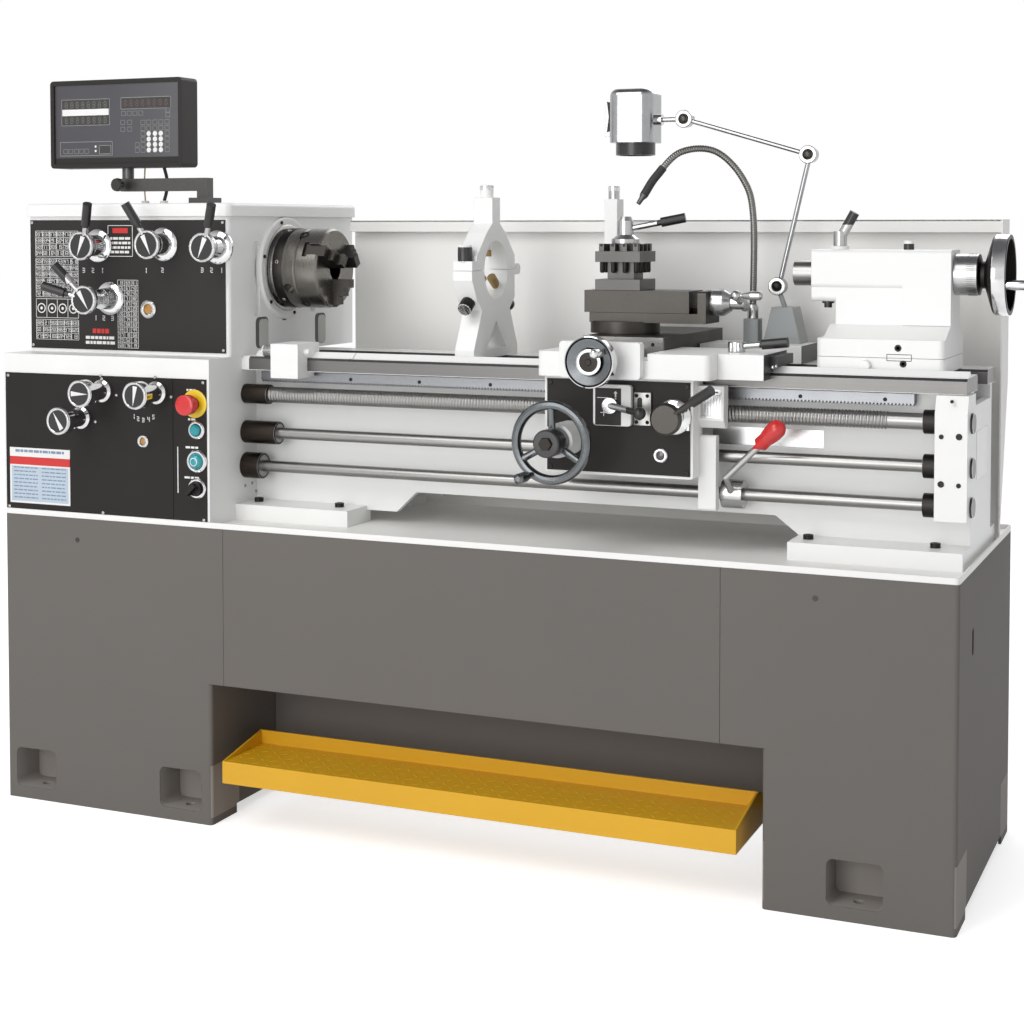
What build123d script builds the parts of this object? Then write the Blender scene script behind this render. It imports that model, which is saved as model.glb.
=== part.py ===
from build123d import *
import os
from math import cos, pi, radians, sin

# Engine lathe with a gap bed, a cabinet stand and a digital readout.
# Millimetres. +X runs along the bed to the tailstock, +Y to the back, +Z up.
# The origin is on the floor, at the middle of the four outer anchor bolts.

# Shared allowances
overrun = 2.0
running_fit = 0.05
slide_gap = 0.3
seam = 0.6
quarter_turn = 90.0
third_turn = 120.0
full_turn = 360.0

# Floor anchors and stand
anchor_spacing_x = 1656.0
anchor_spacing_y = 506.0
anchor_hole_radius = 9.0
stand_left_overhang = 70.0
stand_right_overhang = 166.0
stand_front_overhang = 35.0
stand_height = 575.0
pedestal_wall = 5.0
pedestal_corner = 8.0
left_pedestal_length = 483.0
right_pedestal_length = 324.0
foot_length = 89.0
foot_arch_height = 18.0
pocket_width = 95.0
pocket_height = 78.0
pocket_sill = 24.0
pocket_depth = 70.0
pocket_corner = 12.0
inner_pocket_offset = 342.0
left_ear_width = 28.0
right_ear_width = 74.0
pull_slot_length = 46.0
pull_slot_radius = 9.0
pull_slot_y = -150.0
pull_slot_z = 455.0
stand_left = -anchor_spacing_x / 2 - stand_left_overhang
stand_right = anchor_spacing_x / 2 + stand_right_overhang
stand_front = -anchor_spacing_y / 2 - stand_front_overhang
stand_back = -stand_front
left_pedestal_end = stand_left + left_pedestal_length
right_pedestal_start = stand_right - right_pedestal_length

# Folded front panel and chip tray
sheet = 3.0
panel_height = 301.0
panel_fold = 14.0
chute_setback = 238.0
chute_bottom = 105.0
tray_rim_height = 8.0
panel_bottom = stand_height - panel_height
chute_y = stand_front + chute_setback
tray_floor = stand_height + sheet

# Brake treadle
treadle_end_gap = 38.0
treadle_front_y = -310.0
treadle_depth = 140.0
treadle_bottom = 94.0
treadle_lip = 42.0
treadle_rib = 26.0
treadle_sheet = 4.0
treadle_pivot_y = -92.0
treadle_pivot_z = 115.0
treadle_pin_radius = 9.0
treadle_eye_radius = 17.0
treadle_left = left_pedestal_end + treadle_end_gap
treadle_right = right_pedestal_start - treadle_end_gap
treadle_top = treadle_bottom + treadle_lip

# Bed casting
bed_left_setback = 60.0
bed_right_setback = 11.0
bed_height = 319.0
way_front = -168.0
way_back = 132.0
front_way_width = 108.0
back_way_width = 82.0
way_thickness = 27.0
way_chamfer = 5.0
bed_wall = 16.0
bed_wall_front = -115.0
bed_wall_back = 98.0
web_top_drop = 52.0
web_count = 7
web_thickness = 14.0
left_foot_length = 247.0
right_foot_length = 297.0
foot_flange_height = 31.0
foot_front = -194.0
foot_back = 150.0
low_sill = 23.0
high_sill = 63.0
sill_step_length = 65.0
sill_ramp_length = 42.0
ridge_y = -137.0
ridge_half_width = 13.0
ridge_height = 10.0
ridge_start_gap = 20.0
gap_bridge_length = 236.0
gap_seam_depth = 3.0
bed_left = stand_left + bed_left_setback
bed_right = stand_right - bed_right_setback
way_top = tray_floor + bed_height
way_bottom = way_top - way_thickness
web_top = way_top - web_top_drop

# Rack under the front way
rack_module = 2.0
rack_height = 21.0
rack_thickness = 20.0
rack_drop = 4.0
rack_left_gap = 24.0
rack_right_gap = 91.0
rack_tip_share = 0.28
rack_root_share = 0.72
rack_pitch = pi * rack_module
rack_depth = 2 * rack_module

# Quick-change gearbox
gearbox_length = 482.0
plate_rise = 2.0
plate_top_margin = 38.0
plate_side_margin = 5.0
control_strip_length = 76.0
panel_groove = 1.5
headstock_face = stand_left + gearbox_length
gearbox_height = bed_height

# Headstock
headstock_length = 476.0
headstock_height = 273.0
headstock_front = -213.0
headstock_back = 294.0
headstock_corner = 10.0
headstock_plate_margin = 7.0
lid_height = 26.0
lid_overhang = 6.0
lid_corner = 7.0
centre_height = 169.0
flute_width = 26.0
flute_height = 150.0
flute_depth = 9.0
flute_drop = 48.0
flute_y_shares = (-0.44, 0.44)
end_cover_depth = 58.0
end_cover_front = -110.0
end_cover_back = 270.0
end_cover_sill = 62.0
end_cover_top_drop = 24.0
end_cover_corner = 45.0
headstock_left = headstock_face - headstock_length
end_cover_bottom = tray_floor + end_cover_sill
headstock_top = way_top + headstock_height
spindle_z = way_top + centre_height

# Spindle and chuck
spindle_radius = 44.0
spindle_bore = 19.0
nose_gap = 1.0
flange_radius = 77.0
flange_length = 15.0
chuck_radius = 80.0
chuck_length = 100.0
chuck_bore = 23.0
chuck_edge = 4.0
chuck_groove = 3.0
pinion_radius = 11.0
pinion_depth = 14.0
jaw_width = 24.0
jaw_slot_depth = 34.0
jaw_tongue = 32.0
jaw_tongue_thickness = 10.0
jaw_clearance = 0.1
jaw_inner = 22.0
jaw_step_rise = 12.0
jaw_step_length = 17.0
jaw_step_count = 3
jaw_count = 3
flange_x = headstock_face + nose_gap
chuck_x = flange_x + flange_length
chuck_face = chuck_x + chuck_length

# Speed levers on the headstock plate
lever_shaft_radius = 10.0
lever_spigot = 14.0
lever_standoff = 46.0
lever_dial_radius = 28.0
lever_dial_thickness = 14.0
lever_dial_bevel = 4.0
lever_reach = 88.0
lever_rise = 16.0
lever_rod_radius = 5.5
grip_radius = 9.0
grip_length = 46.0
speed_lever_x_shares = (0.366, 0.691, 0.955, 0.424)
speed_lever_z_shares = (0.787, 0.799, 0.780, 0.403)
speed_lever_angles = ((70.0,), (115.0,), (68.0,), (129.0, 162.0))
low_lever_extra_standoff = 30.0

# Feed knobs, push buttons and switch on the gearbox plate
knob_shaft_radius = 9.0
knob_standoff = 58.0
knob_radius = 26.0
knob_thickness = 22.0
knob_flange_radius = 22.0
knob_flange = 10.0
knob_waist_radius = 17.0
feed_knob_x_shares = (0.504, 0.400, 0.766)
feed_knob_z_shares = (0.790, 0.620, 0.793)
estop_x_share = 0.936
estop_z_share = 0.734
estop_radius = 19.0
estop_stem_radius = 11.0
estop_stem = 20.0
estop_head = 16.0
estop_travel = 6.0
jog_x_share = 0.946
jog_z_share = 0.577
jog_radius = 11.0
jog_height = 12.0
jog_travel = 4.0
button_spigot = 12.0
lamp_lens_z_share = 0.389
lamp_lens_radius = 15.0
lamp_lens_height = 14.0
switch_z_share = 0.226
switch_radius = 13.0
switch_height = 14.0
switch_bar_thickness = 7.0
switch_bar_height = 14.0

# Leadscrew, feed rod, control rod and their end bracket
shaft_y = -155.0
leadscrew_drop = 75.0
feed_rod_drop = 150.0
control_rod_drop = 216.0
leadscrew_radius = 14.0
feed_rod_radius = 11.0
control_rod_radius = 11.0
shaft_spigot = 18.0
leadscrew_sleeve_radius = 19.0
leadscrew_sleeve = 56.0
feed_sleeve_radius = 22.0
feed_sleeve = 76.0
control_collar_radius = 25.0
control_collar = 40.0
end_nut_radius = 20.0
end_nut = 24.0
bracket_length = 54.0
bracket_right_reach = 6.0
bracket_front = -195.0
bracket_height = 209.0
bracket_chamfer = 14.0
bracket_cap_radius = 17.0
bracket_cap = 5.0
bracket_right = bed_right + bracket_right_reach
bracket_left = bracket_right - bracket_length
leadscrew_z = way_top - leadscrew_drop
feed_rod_z = way_top - feed_rod_drop
control_rod_z = way_top - control_rod_drop

# Splash guard
guard_left_gap = 34.0
guard_back = 240.0
guard_rise = 266.0
guard_knee_drop = 35.0
guard_foot_y = 156.0
guard_lip = 25.0
guard_wing = 82.0
guard_top = way_top + guard_rise
guard_knee_z = way_top - guard_knee_drop

# Bed stop
stop_gap = 87.0
stop_length = 60.0
stop_front = -205.0
stop_back = -122.0
stop_height = 28.0
stop_jaw_back = -142.0
stop_jaw = 11.0
stop_knob_radius = 11.0
stop_knob_length = 30.0
stop_knob_y = -178.0
stop_knob_rise = 12.0

# Steady rest
steady_x = 35.0
steady_thickness = 40.0
steady_outer = 90.0
steady_inner = 56.0
steady_foot_half = 104.0
steady_foot_height = 18.0
steady_waist_half = 66.0
steady_waist_rise = 93.0
steady_arch_half = 46.0
steady_arch_rise = 71.0
steady_hinge_y = 108.0
steady_knuckle_radius = 11.0
steady_pin_radius = 4.5
steady_lug = 22.0
steady_lug_height = 18.0
steady_knob_radius = 13.0
steady_knob_height = 30.0
steady_neck_half = 18.0
steady_neck_rise = 140.0
steady_cap_shoulder = 44.0
steady_top_knob = 24.0
steady_finger_radius = 9.0
steady_finger_tip = 26.0
steady_finger_angle = 35.0
steady_thumb = 26.0
steady_waist_z = way_top + steady_waist_rise
steady_arch_top = way_top + steady_arch_rise
steady_neck_top = spindle_z + steady_neck_rise

# Saddle and apron
saddle_left = 246.0
saddle_right = 648.0
saddle_front = -255.0
saddle_back = 170.0
saddle_lip_drop = 11.0
saddle_step_x = 566.0
saddle_step_front = -212.0
saddle_wing_height = 33.0
saddle_bridge_height = 21.0
saddle_bridge_drop = 12.0
saddle_back_wing_y = 46.0
saddle_corner = 12.0
wiper_length = 12.0
feed_bracket_width = 150.0
feed_bracket_depth = 20.0
feed_bracket_height = 64.0
apron_left = 255.0
apron_length = 276.0
apron_height = 173.0
apron_front = -238.0
shaft_clearance = 4.0
gate_left = 352.0
gate_width = 70.0
gate_height = 72.0
gate_depth = 12.0
gate_drop = 12.0
chart_box_length = 46.0
chart_box_front = -210.0
chart_box_height = 74.0
chart_box_drop = 12.0
chart_box_slant = 14.0
lever_bracket_length = 30.0
lever_bracket_thickness = 18.0
lever_bracket_height = 132.0
lever_bracket_drop = 26.0
saddle_lip_bottom = way_top - saddle_lip_drop
lever_bracket_bottom = control_rod_z - lever_bracket_drop
apron_top = saddle_lip_bottom
apron_back = shaft_y - control_collar_radius - shaft_clearance
apron_right = apron_left + apron_length
saddle_top = way_top + saddle_wing_height
bridge_top = way_top + saddle_bridge_height

# Cross slide, compound and top slide
cross_x = 372.0
cross_width = 158.0
cross_front = -165.0
cross_length = 365.0
cross_thickness = 34.0
dovetail_half = 36.0
dovetail_flare = 8.0
dovetail_height = 14.0
compound_x = 328.0
compound_y = -20.0
swivel_radius = 65.0
swivel_height = 20.0
compound_left = 272.0
compound_right = 498.0
compound_width = 84.0
compound_base_height = 18.0
compound_end_plate = 16.0
small_dovetail_half = 20.0
small_dovetail_flare = 6.0
small_dovetail_height = 11.0
top_slide_left = 262.0
top_slide_right = 466.0
top_slide_height = 41.0
cross_top = bridge_top + slide_gap + cross_thickness
swivel_top = cross_top + slide_gap + swivel_height
compound_top = swivel_top + compound_base_height
top_slide_top = compound_top + slide_gap + top_slide_height
compound_axis_z = compound_top + top_slide_height / 2

# Four-way tool post and its clamp lever
post_width = 88.0
post_neck = 52.0
post_plate = 20.0
post_neck_height = 32.0
post_stud_radius = 12.0
post_screw_radius = 5.0
post_screw_height = 14.0
post_screw_shares = (-0.38, -0.13, 0.13, 0.38)
nut_radius = 26.0
nut_top_radius = 15.0
nut_collar = 8.0
nut_height = 50.0
post_lever_drop = 24.0
post_lever_reach = 60.0
post_lever_rise = 22.0
post_lever_grip = 52.0
post_lever_angle = 12.0
post_top = top_slide_top + slide_gap + 2 * post_plate + post_neck_height
post_seat_top = post_top + post_screw_height

# Handwheels and cranks
cross_axis_rise = 21.0
dial_radius = 27.0
dial_length = 38.0
cross_wheel_radius = 44.5
cross_wheel_thickness = 20.0
cross_wheel_edge = 5.0
cross_handle_radius = 7.0
cross_handle_length = 44.0
cross_handle_share = 0.68
cross_handle_angle = 35.0
feed_shaft_radius = 10.0
feed_shaft_spigot = 14.0
apron_wheel_x = 303.0
apron_wheel_drop = 109.0
apron_boss_radius = 30.0
apron_boss = 62.0
wheel_radius = 73.5
wheel_rim = 8.5
wheel_rim_sides = 10
wheel_dish = 16.0
wheel_hub_radius = 24.0
wheel_hub = 34.0
wheel_spoke_radius = 6.5
wheel_handle_radius = 9.0
wheel_handle = 62.0
wheel_spoke_angles = (90.0, 210.0, 330.0)
wheel_handle_angle = 240.0
crank_radius = 42.0
crank_dial_radius = 24.0
crank_dial = 36.0
crank_hub_radius = 13.0
crank_hub = 26.0
crank_bar_radius = 7.0
crank_handle_radius = 8.0
crank_handle = 42.0
crank_angle = 250.0
cross_axis_z = way_top + cross_axis_rise
apron_wheel_z = apron_top - apron_wheel_drop

# Apron levers
half_nut_x = 497.0
half_nut_drop = 65.0
half_nut_standoff = 38.0
half_nut_angle = 32.0
half_nut_reach = 104.0
feed_lever_x = 386.0
feed_lever_drop = 48.0
feed_lever_boss_radius = 14.0
feed_lever_boss = 10.0
feed_lever_rod_radius = 6.0
feed_lever_end_x = 452.0
feed_lever_end_y = -292.0
feed_lever_dip = 8.0
feed_lever_ball = 11.0
carriage_lock_x = 582.0
carriage_lock_y = -150.0
carriage_lock_radius = 15.0
carriage_lock_height = 18.0
carriage_lock_reach = 92.0
carriage_lock_rise = 10.0
control_hub_radius = 25.0
control_hub = 38.0
control_elbow_y = -205.0
control_elbow_rise = 35.0
control_knob_x = 658.0
control_knob_y = -222.0
control_knob_rise = 109.0
control_rod_bar_radius = 6.0
control_knob_radius = 13.0
control_knob_length = 36.0
half_nut_z = apron_top - half_nut_drop
feed_lever_z = apron_top - feed_lever_drop
feed_lever_end_z = feed_lever_z - feed_lever_dip
control_elbow_z = control_rod_z + control_elbow_rise
control_knob_z = control_rod_z + control_knob_rise

# Follow rest
follow_left = 248.0
follow_thickness = 26.0
follow_foot_front = 76.0
follow_foot_back = 140.0
follow_foot_height = 16.0
follow_column_front = 82.0
follow_column_back = 118.0
follow_column_rise = 137.0
follow_knob_radius = 11.0
follow_knob_height = 25.0
follow_arm_tip = 62.0
follow_arm_half = 17.0
follow_column_top = spindle_z + follow_column_rise

# Work lamp
lamp_y = 138.0
lamp_base_x = 594.0
lamp_base_bottom_half = 36.0
lamp_base_top_half = 20.0
lamp_base_depth_half = 30.0
lamp_base_height = 68.0
lamp_pivot_x = 579.0
lamp_pivot_rise = 107.0
lamp_elbow_x = 637.0
lamp_elbow_rise = 248.0
lamp_neck_x = 393.0
lamp_neck_rise = 72.0
lamp_head_x = 290.0
lamp_eye_radius = 16.0
lamp_eye_thickness = 10.0
lamp_pin_radius = 5.0
lamp_head_half = 44.0
lamp_head_corner = 22.0
lamp_head_top = 60.0
lamp_head_bottom = 44.0
lamp_head_edge = 14.0
lamp_ring_radius = 38.0
lamp_ring_height = 24.0
lamp_ring_wall = 5.0
lamp_ring_recess = 12.0
lamp_clip_reach = 18.0
lamp_clip_height = 62.0
lamp_clip_thickness = 10.0
lamp_pivot_z = saddle_top + lamp_pivot_rise
lamp_elbow_z = lamp_pivot_z + lamp_elbow_rise
lamp_neck_z = lamp_elbow_z + lamp_neck_rise

# Coolant gooseneck
hose_base_x = 534.0
hose_base_y = 122.0
hose_radius = 8.5
hose_block_half = 15.0
hose_block_height = 46.0
hose_reach_x = 184.0
hose_reach_y = 102.0
hose_rise = 362.0
hose_x_shares = (0.0, 0.098, 0.359, 0.674, 0.891, 1.0)
hose_y_shares = (0.0, 0.098, 0.314, 0.627, 0.863, 1.0)
hose_z_shares = (0.649, 0.856, 1.0, 0.994, 0.870, 0.771)
hose_bend_radius = 60.0
nozzle_radius = 5.0
nozzle_length = 20.0

# Tailstock
tail_left = 688.0
tail_right = 934.0
tail_head_half = 43.0
tail_head_corner = 9.0
tail_head_drop = 49.0
tail_ledge_drop = 26.0
tail_relief = 3.0
tail_relief_x = 850.0
tail_base_left = 712.0
tail_base_front = -104.0
tail_base_back = 92.0
tail_sole_height = 26.0
tail_base_height = 58.0
tail_foot_corner = 10.0
tail_neck_left = 732.0
tail_shelf_rise = 22.0
quill_radius = 22.5
quill_reach = 40.0
quill_bore = 11.0
quill_tail_gap = 60.0
quill_taper = 60.0
quill_tip_bore = 9.0
tail_dial_radius = 36.0
tail_dial = 42.0
tail_hub_radius = 24.0
tail_hub = 10.0
tail_cone = 14.0
tail_rim = 28.0
tail_rim_wall = 7.0
tail_wheel_radius = 70.0
tail_wheel_handle = 46.0
tail_wheel_handle_angle = 285.0
lock_post_x = 729.0
lock_post_radius = 8.0
lock_post_height = 26.0
lock_spigot = 12.0
lock_reach_x = 26.0
lock_rise = 66.0
oiler_x = 852.0
oiler_radius = 9.0
oiler_height = 16.0
tail_clamp_x = 800.0
tail_clamp_radius = 9.0
tail_clamp = 16.0

# Digital readout on its arm
readout_y = -100.0
readout_left = -899.0
readout_width = 322.0
readout_rise = 74.0
readout_height = 180.0
readout_depth = 56.0
readout_corner = 8.0
readout_bezel = 9.0
readout_screen_recess = 3.0
arm_post_x = -542.0
arm_post_width = 22.0
arm_pivot_x = -727.0
arm_rise = 26.0
arm_height = 26.0
arm_half_depth = 13.0
arm_pivot_radius = 12.0
arm_plate = 12.0
cable_y = -76.0
cable_x = -656.0
cable_radius = 3.5
wire_x = -702.0
wire_radius = 1.5
grommet_radius = 8.0
grommet_height = 7.0
lid_top = headstock_top + lid_height
readout_bottom = lid_top + readout_rise
arm_bottom = lid_top + arm_rise


def block(x0, x1, y0, y1, z0, z1):
    """Box between two corners."""
    return Pos((x0 + x1) / 2, (y0 + y1) / 2, (z0 + z1) / 2) * Box(x1 - x0, y1 - y0, z1 - z0)


def rounded_x(x0, x1, y0, y1, z0, z1, radius):
    """Box with the four edges along X rounded."""
    plane = Plane((x0, (y0 + y1) / 2, (z0 + z1) / 2), x_dir=(0, 1, 0), z_dir=(1, 0, 0))
    return extrude(plane * RectangleRounded(y1 - y0, z1 - z0, radius), x1 - x0)


def rounded_y(x0, x1, y0, y1, z0, z1, radius):
    """Box with the four edges along Y rounded."""
    plane = Plane(((x0 + x1) / 2, y1, (z0 + z1) / 2), x_dir=(1, 0, 0), z_dir=(0, -1, 0))
    return extrude(plane * RectangleRounded(x1 - x0, z1 - z0, radius), y1 - y0)


def rounded_z(x0, x1, y0, y1, z0, z1, radius):
    """Box with the four upright edges rounded."""
    plane = Plane(((x0 + x1) / 2, (y0 + y1) / 2, z0))
    return extrude(plane * RectangleRounded(x1 - x0, y1 - y0, radius), z1 - z0)


def prism_x(x0, x1, points):
    """Outline of (y, z) points carried along X."""
    face = make_face(Polyline(*points, close=True))
    return extrude(Plane((x0, 0, 0), x_dir=(0, 1, 0), z_dir=(1, 0, 0)) * face, x1 - x0)


def prism_y(y0, y1, points):
    """Outline of (x, z) points carried along Y."""
    face = make_face(Polyline(*points, close=True))
    return extrude(Plane((0, y1, 0), x_dir=(1, 0, 0), z_dir=(0, -1, 0)) * face, y1 - y0)


def bar(start, end, radius):
    """Round bar between two points."""
    path = Vector(*end) - Vector(*start)
    plane = Plane(origin=start, z_dir=path)
    return plane * Cylinder(radius, path.length, align=(Align.CENTER, Align.CENTER, Align.MIN))


def rod_x(x0, x1, y, z, radius):
    return bar((x0, y, z), (x1, y, z), radius)


def rod_y(y0, y1, x, z, radius):
    return bar((x, y0, z), (x, y1, z), radius)


def rod_z(z0, z1, x, y, radius):
    return bar((x, y, z0), (x, y, z1), radius)


def turned(points):
    """Solid of revolution about Z from (radius, height) points."""
    outline = make_face(Polyline(*[(r, 0, h) for r, h in points], close=True))
    return revolve(outline, Axis.Z)


def facing_front(x, y, z):
    """Place of a fitting whose own Z points to the operator."""
    return Pos(x, y, z) * Rot(quarter_turn, 0, 0)


def around(angle, reach):
    return reach * cos(radians(angle)), reach * sin(radians(angle))


def pedestal(x0, x1, pocket_xs):
    """Cabinet with open top and bottom, arched sides and a pocket over each anchor hole."""
    body = rounded_z(x0, x1, stand_front, stand_back, 0, stand_height, pedestal_corner)
    body -= block(
        x0 + pedestal_wall,
        x1 - pedestal_wall,
        stand_front + pedestal_wall,
        stand_back - pedestal_wall,
        -overrun,
        stand_height + overrun,
    )
    half = pocket_width / 2
    top = pocket_sill + pocket_height
    for x in pocket_xs:
        for low, high in ((stand_front, stand_front + pocket_depth + pedestal_wall),
                          (stand_back - pocket_depth - pedestal_wall, stand_back)):
            left = max(x - half - pedestal_wall, x0)
            right = min(x + half + pedestal_wall, x1)
            body += block(left, right, low + pedestal_corner / 2, high - pedestal_corner / 2, 0,
                          top + pedestal_wall)
        for side in (-1, 1):
            face = side * stand_back
            low, high = sorted((face + side * overrun, face - side * pocket_depth))
            body -= rounded_y(x - half, x + half, low, high, pocket_sill, top, pocket_corner)
            hole_y = side * anchor_spacing_y / 2
            body -= rod_z(-overrun, pocket_sill + overrun, x, hole_y, anchor_hole_radius)
    arch = stand_back - foot_length
    body -= block(x0 - overrun, x1 + overrun, -arch, arch, -overrun, foot_arch_height)
    return body


def ear(x0, x1):
    """Front flange that closes the stand beside the front panel."""
    back = stand_front + sheet
    flange = block(x0, x1, stand_front, back, panel_bottom, stand_height)
    return flange + block(x0, x1, stand_front, back + panel_fold, panel_bottom, panel_bottom + sheet)


def treadle_hole(x):
    return rod_x(x - overrun, x + pedestal_wall + overrun, treadle_pivot_y, treadle_pivot_z,
                 treadle_pin_radius + running_fit)


def left_pedestal():
    outer = -anchor_spacing_x / 2
    body = pedestal(stand_left, left_pedestal_end, (outer, outer + inner_pocket_offset))
    body += ear(left_pedestal_end - pedestal_corner, left_pedestal_end + left_ear_width)
    return body - treadle_hole(left_pedestal_end - pedestal_wall)


def right_pedestal():
    body = pedestal(right_pedestal_start, stand_right, (anchor_spacing_x / 2,))
    body += ear(right_pedestal_start - right_ear_width, right_pedestal_start + pedestal_corner)
    wall = stand_right - pedestal_wall
    half = pull_slot_length / 2
    body -= rounded_x(wall - overrun, stand_right + overrun, pull_slot_y - pull_slot_radius,
                      pull_slot_y + pull_slot_radius, pull_slot_z - half, pull_slot_z + half,
                      pull_slot_radius - running_fit)
    return body - treadle_hole(right_pedestal_start)


def front_panel():
    """One folded sheet: face, bottom return and the chute wall behind the treadle."""
    left = left_pedestal_end + left_ear_width + seam
    right = right_pedestal_start - right_ear_width - seam
    back = stand_front + sheet
    panel = block(left, right, stand_front, back, panel_bottom, stand_height)
    panel += block(left, right, stand_front, chute_y + sheet, panel_bottom, panel_bottom + sheet)
    wide_left = left_pedestal_end + seam
    wide_right = right_pedestal_start - seam
    panel += block(wide_left, wide_right, chute_y, chute_y + sheet, chute_bottom, panel_bottom + sheet)
    panel += block(wide_left, wide_right, chute_y, chute_y + panel_fold, chute_bottom, chute_bottom + sheet)
    return panel


def chip_tray():
    rim_top = tray_floor + tray_rim_height
    tray = rounded_z(stand_left, stand_right, stand_front, stand_back, stand_height, rim_top, pedestal_corner)
    return tray - block(stand_left + sheet, stand_right - sheet, stand_front + sheet, stand_back - sheet,
                        tray_floor, rim_top + overrun)


def splash_guard():
    """Sheet back with a knee, a folded top lip and a wing at the tailstock end."""
    left = headstock_face + guard_left_gap
    knee_in = guard_back - sheet
    back = prism_x(left, stand_right - sheet, (
        (guard_foot_y, tray_floor),
        (guard_foot_y + sheet, tray_floor),
        (guard_back, guard_knee_z),
        (guard_back, guard_top),
        (guard_back - guard_lip, guard_top),
        (guard_back - guard_lip, guard_top - sheet),
        (knee_in, guard_top - sheet),
        (knee_in, guard_knee_z),
    ))
    wing_front = guard_back - guard_wing
    wing = prism_x(stand_right - 2 * sheet, stand_right - sheet, (
        (guard_foot_y, tray_floor),
        (guard_back, guard_knee_z),
        (guard_back, guard_top),
        (wing_front, guard_top),
        (wing_front, guard_knee_z),
    ))
    return back + wing


def bed_outline():
    """Side view of the bed walls: two feet with a raised sill between them."""
    low = tray_floor + low_sill
    high = tray_floor + high_sill
    left_foot_end = headstock_face + left_foot_length
    right_foot_start = bed_right - right_foot_length
    step_end = left_foot_end + sill_step_length
    return (
        (bed_left, tray_floor),
        (left_foot_end, tray_floor),
        (left_foot_end, low),
        (step_end, low),
        (step_end + sill_ramp_length, high),
        (right_foot_start - sill_ramp_length, high),
        (right_foot_start, tray_floor + foot_flange_height),
        (right_foot_start, tray_floor),
        (bed_right, tray_floor),
        (bed_right, way_bottom + overrun),
        (bed_left, way_bottom + overrun),
    )


def way(y0, y1):
    """Flat way with chamfered outer edges."""
    c = way_chamfer
    return prism_x(bed_left, bed_right, (
        (y0, way_bottom), (y1, way_bottom), (y1, way_top - c), (y1 - c, way_top), (y0 + c, way_top),
        (y0, way_top - c),
    ))


def ridge(x0, x1, growth):
    """Prismatic guide on the front way."""
    half = ridge_half_width + 2 * growth
    base = way_top - growth
    return prism_x(x0, x1, (
        (ridge_y - half, base), (ridge_y + half, base), (ridge_y, way_top + ridge_height + growth),
    ))


def bed():
    outline = bed_outline()
    casting = prism_y(bed_wall_front, bed_wall_front + bed_wall, outline)
    casting += prism_y(bed_wall_back - bed_wall, bed_wall_back, outline)
    casting += way(way_front, way_front + front_way_width)
    casting += way(way_back - back_way_width, way_back)
    casting += ridge(headstock_face + ridge_start_gap, bed_right, 0)
    inner_front = bed_wall_front + bed_wall - overrun
    inner_back = bed_wall_back - bed_wall + overrun
    pitch = (bed_right - bed_left - web_thickness) / (web_count - 1)
    for i in range(web_count):
        x = bed_left + i * pitch
        casting += block(x, x + web_thickness, inner_front, inner_back, tray_floor + high_sill, web_top)
    right_foot_start = bed_right - right_foot_length
    flange_top = tray_floor + foot_flange_height
    for x0, x1 in ((headstock_face, headstock_face + left_foot_length), (right_foot_start, bed_right)):
        casting += block(x0, x1, foot_front, bed_wall_front + overrun, tray_floor, flange_top)
        casting += block(x0, x1, bed_wall_back - overrun, foot_back, tray_floor, flange_top)
    casting += block(bed_right - web_thickness, bed_right, inner_front, inner_back, tray_floor, web_top)
    gap_end = headstock_face + gap_bridge_length
    groove_top = way_top + ridge_height + overrun
    casting -= block(gap_end, gap_end + panel_groove, way_front - overrun, way_back + overrun,
                     way_top - gap_seam_depth, groove_top)
    return casting


def rack():
    """Straight rack with trapezoid teeth that point down."""
    x0 = headstock_face + rack_left_gap
    top = way_bottom - rack_drop
    tip_z = top - rack_height
    root_z = tip_z + rack_depth
    count = int((bed_right - rack_right_gap - x0) / rack_pitch)
    points = [(x0, top), (x0, root_z)]
    for i in range(count):
        x = x0 + i * rack_pitch
        points += [
            (x + (1 - rack_root_share) / 2 * rack_pitch, root_z),
            (x + (1 - rack_tip_share) / 2 * rack_pitch, tip_z),
            (x + (1 + rack_tip_share) / 2 * rack_pitch, tip_z),
            (x + (1 + rack_root_share) / 2 * rack_pitch, root_z),
        ]
    x1 = x0 + count * rack_pitch
    points += [(x1, root_z), (x1, top)]
    return prism_y(bed_wall_front - rack_thickness, bed_wall_front, points)


def on_gearbox(x_share, z_share):
    return stand_left + x_share * gearbox_length, tray_floor + z_share * gearbox_height


def fitting_hole(x, z, face, radius, depth):
    return rod_y(face - overrun, face + depth, x, z, radius + running_fit)


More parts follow.
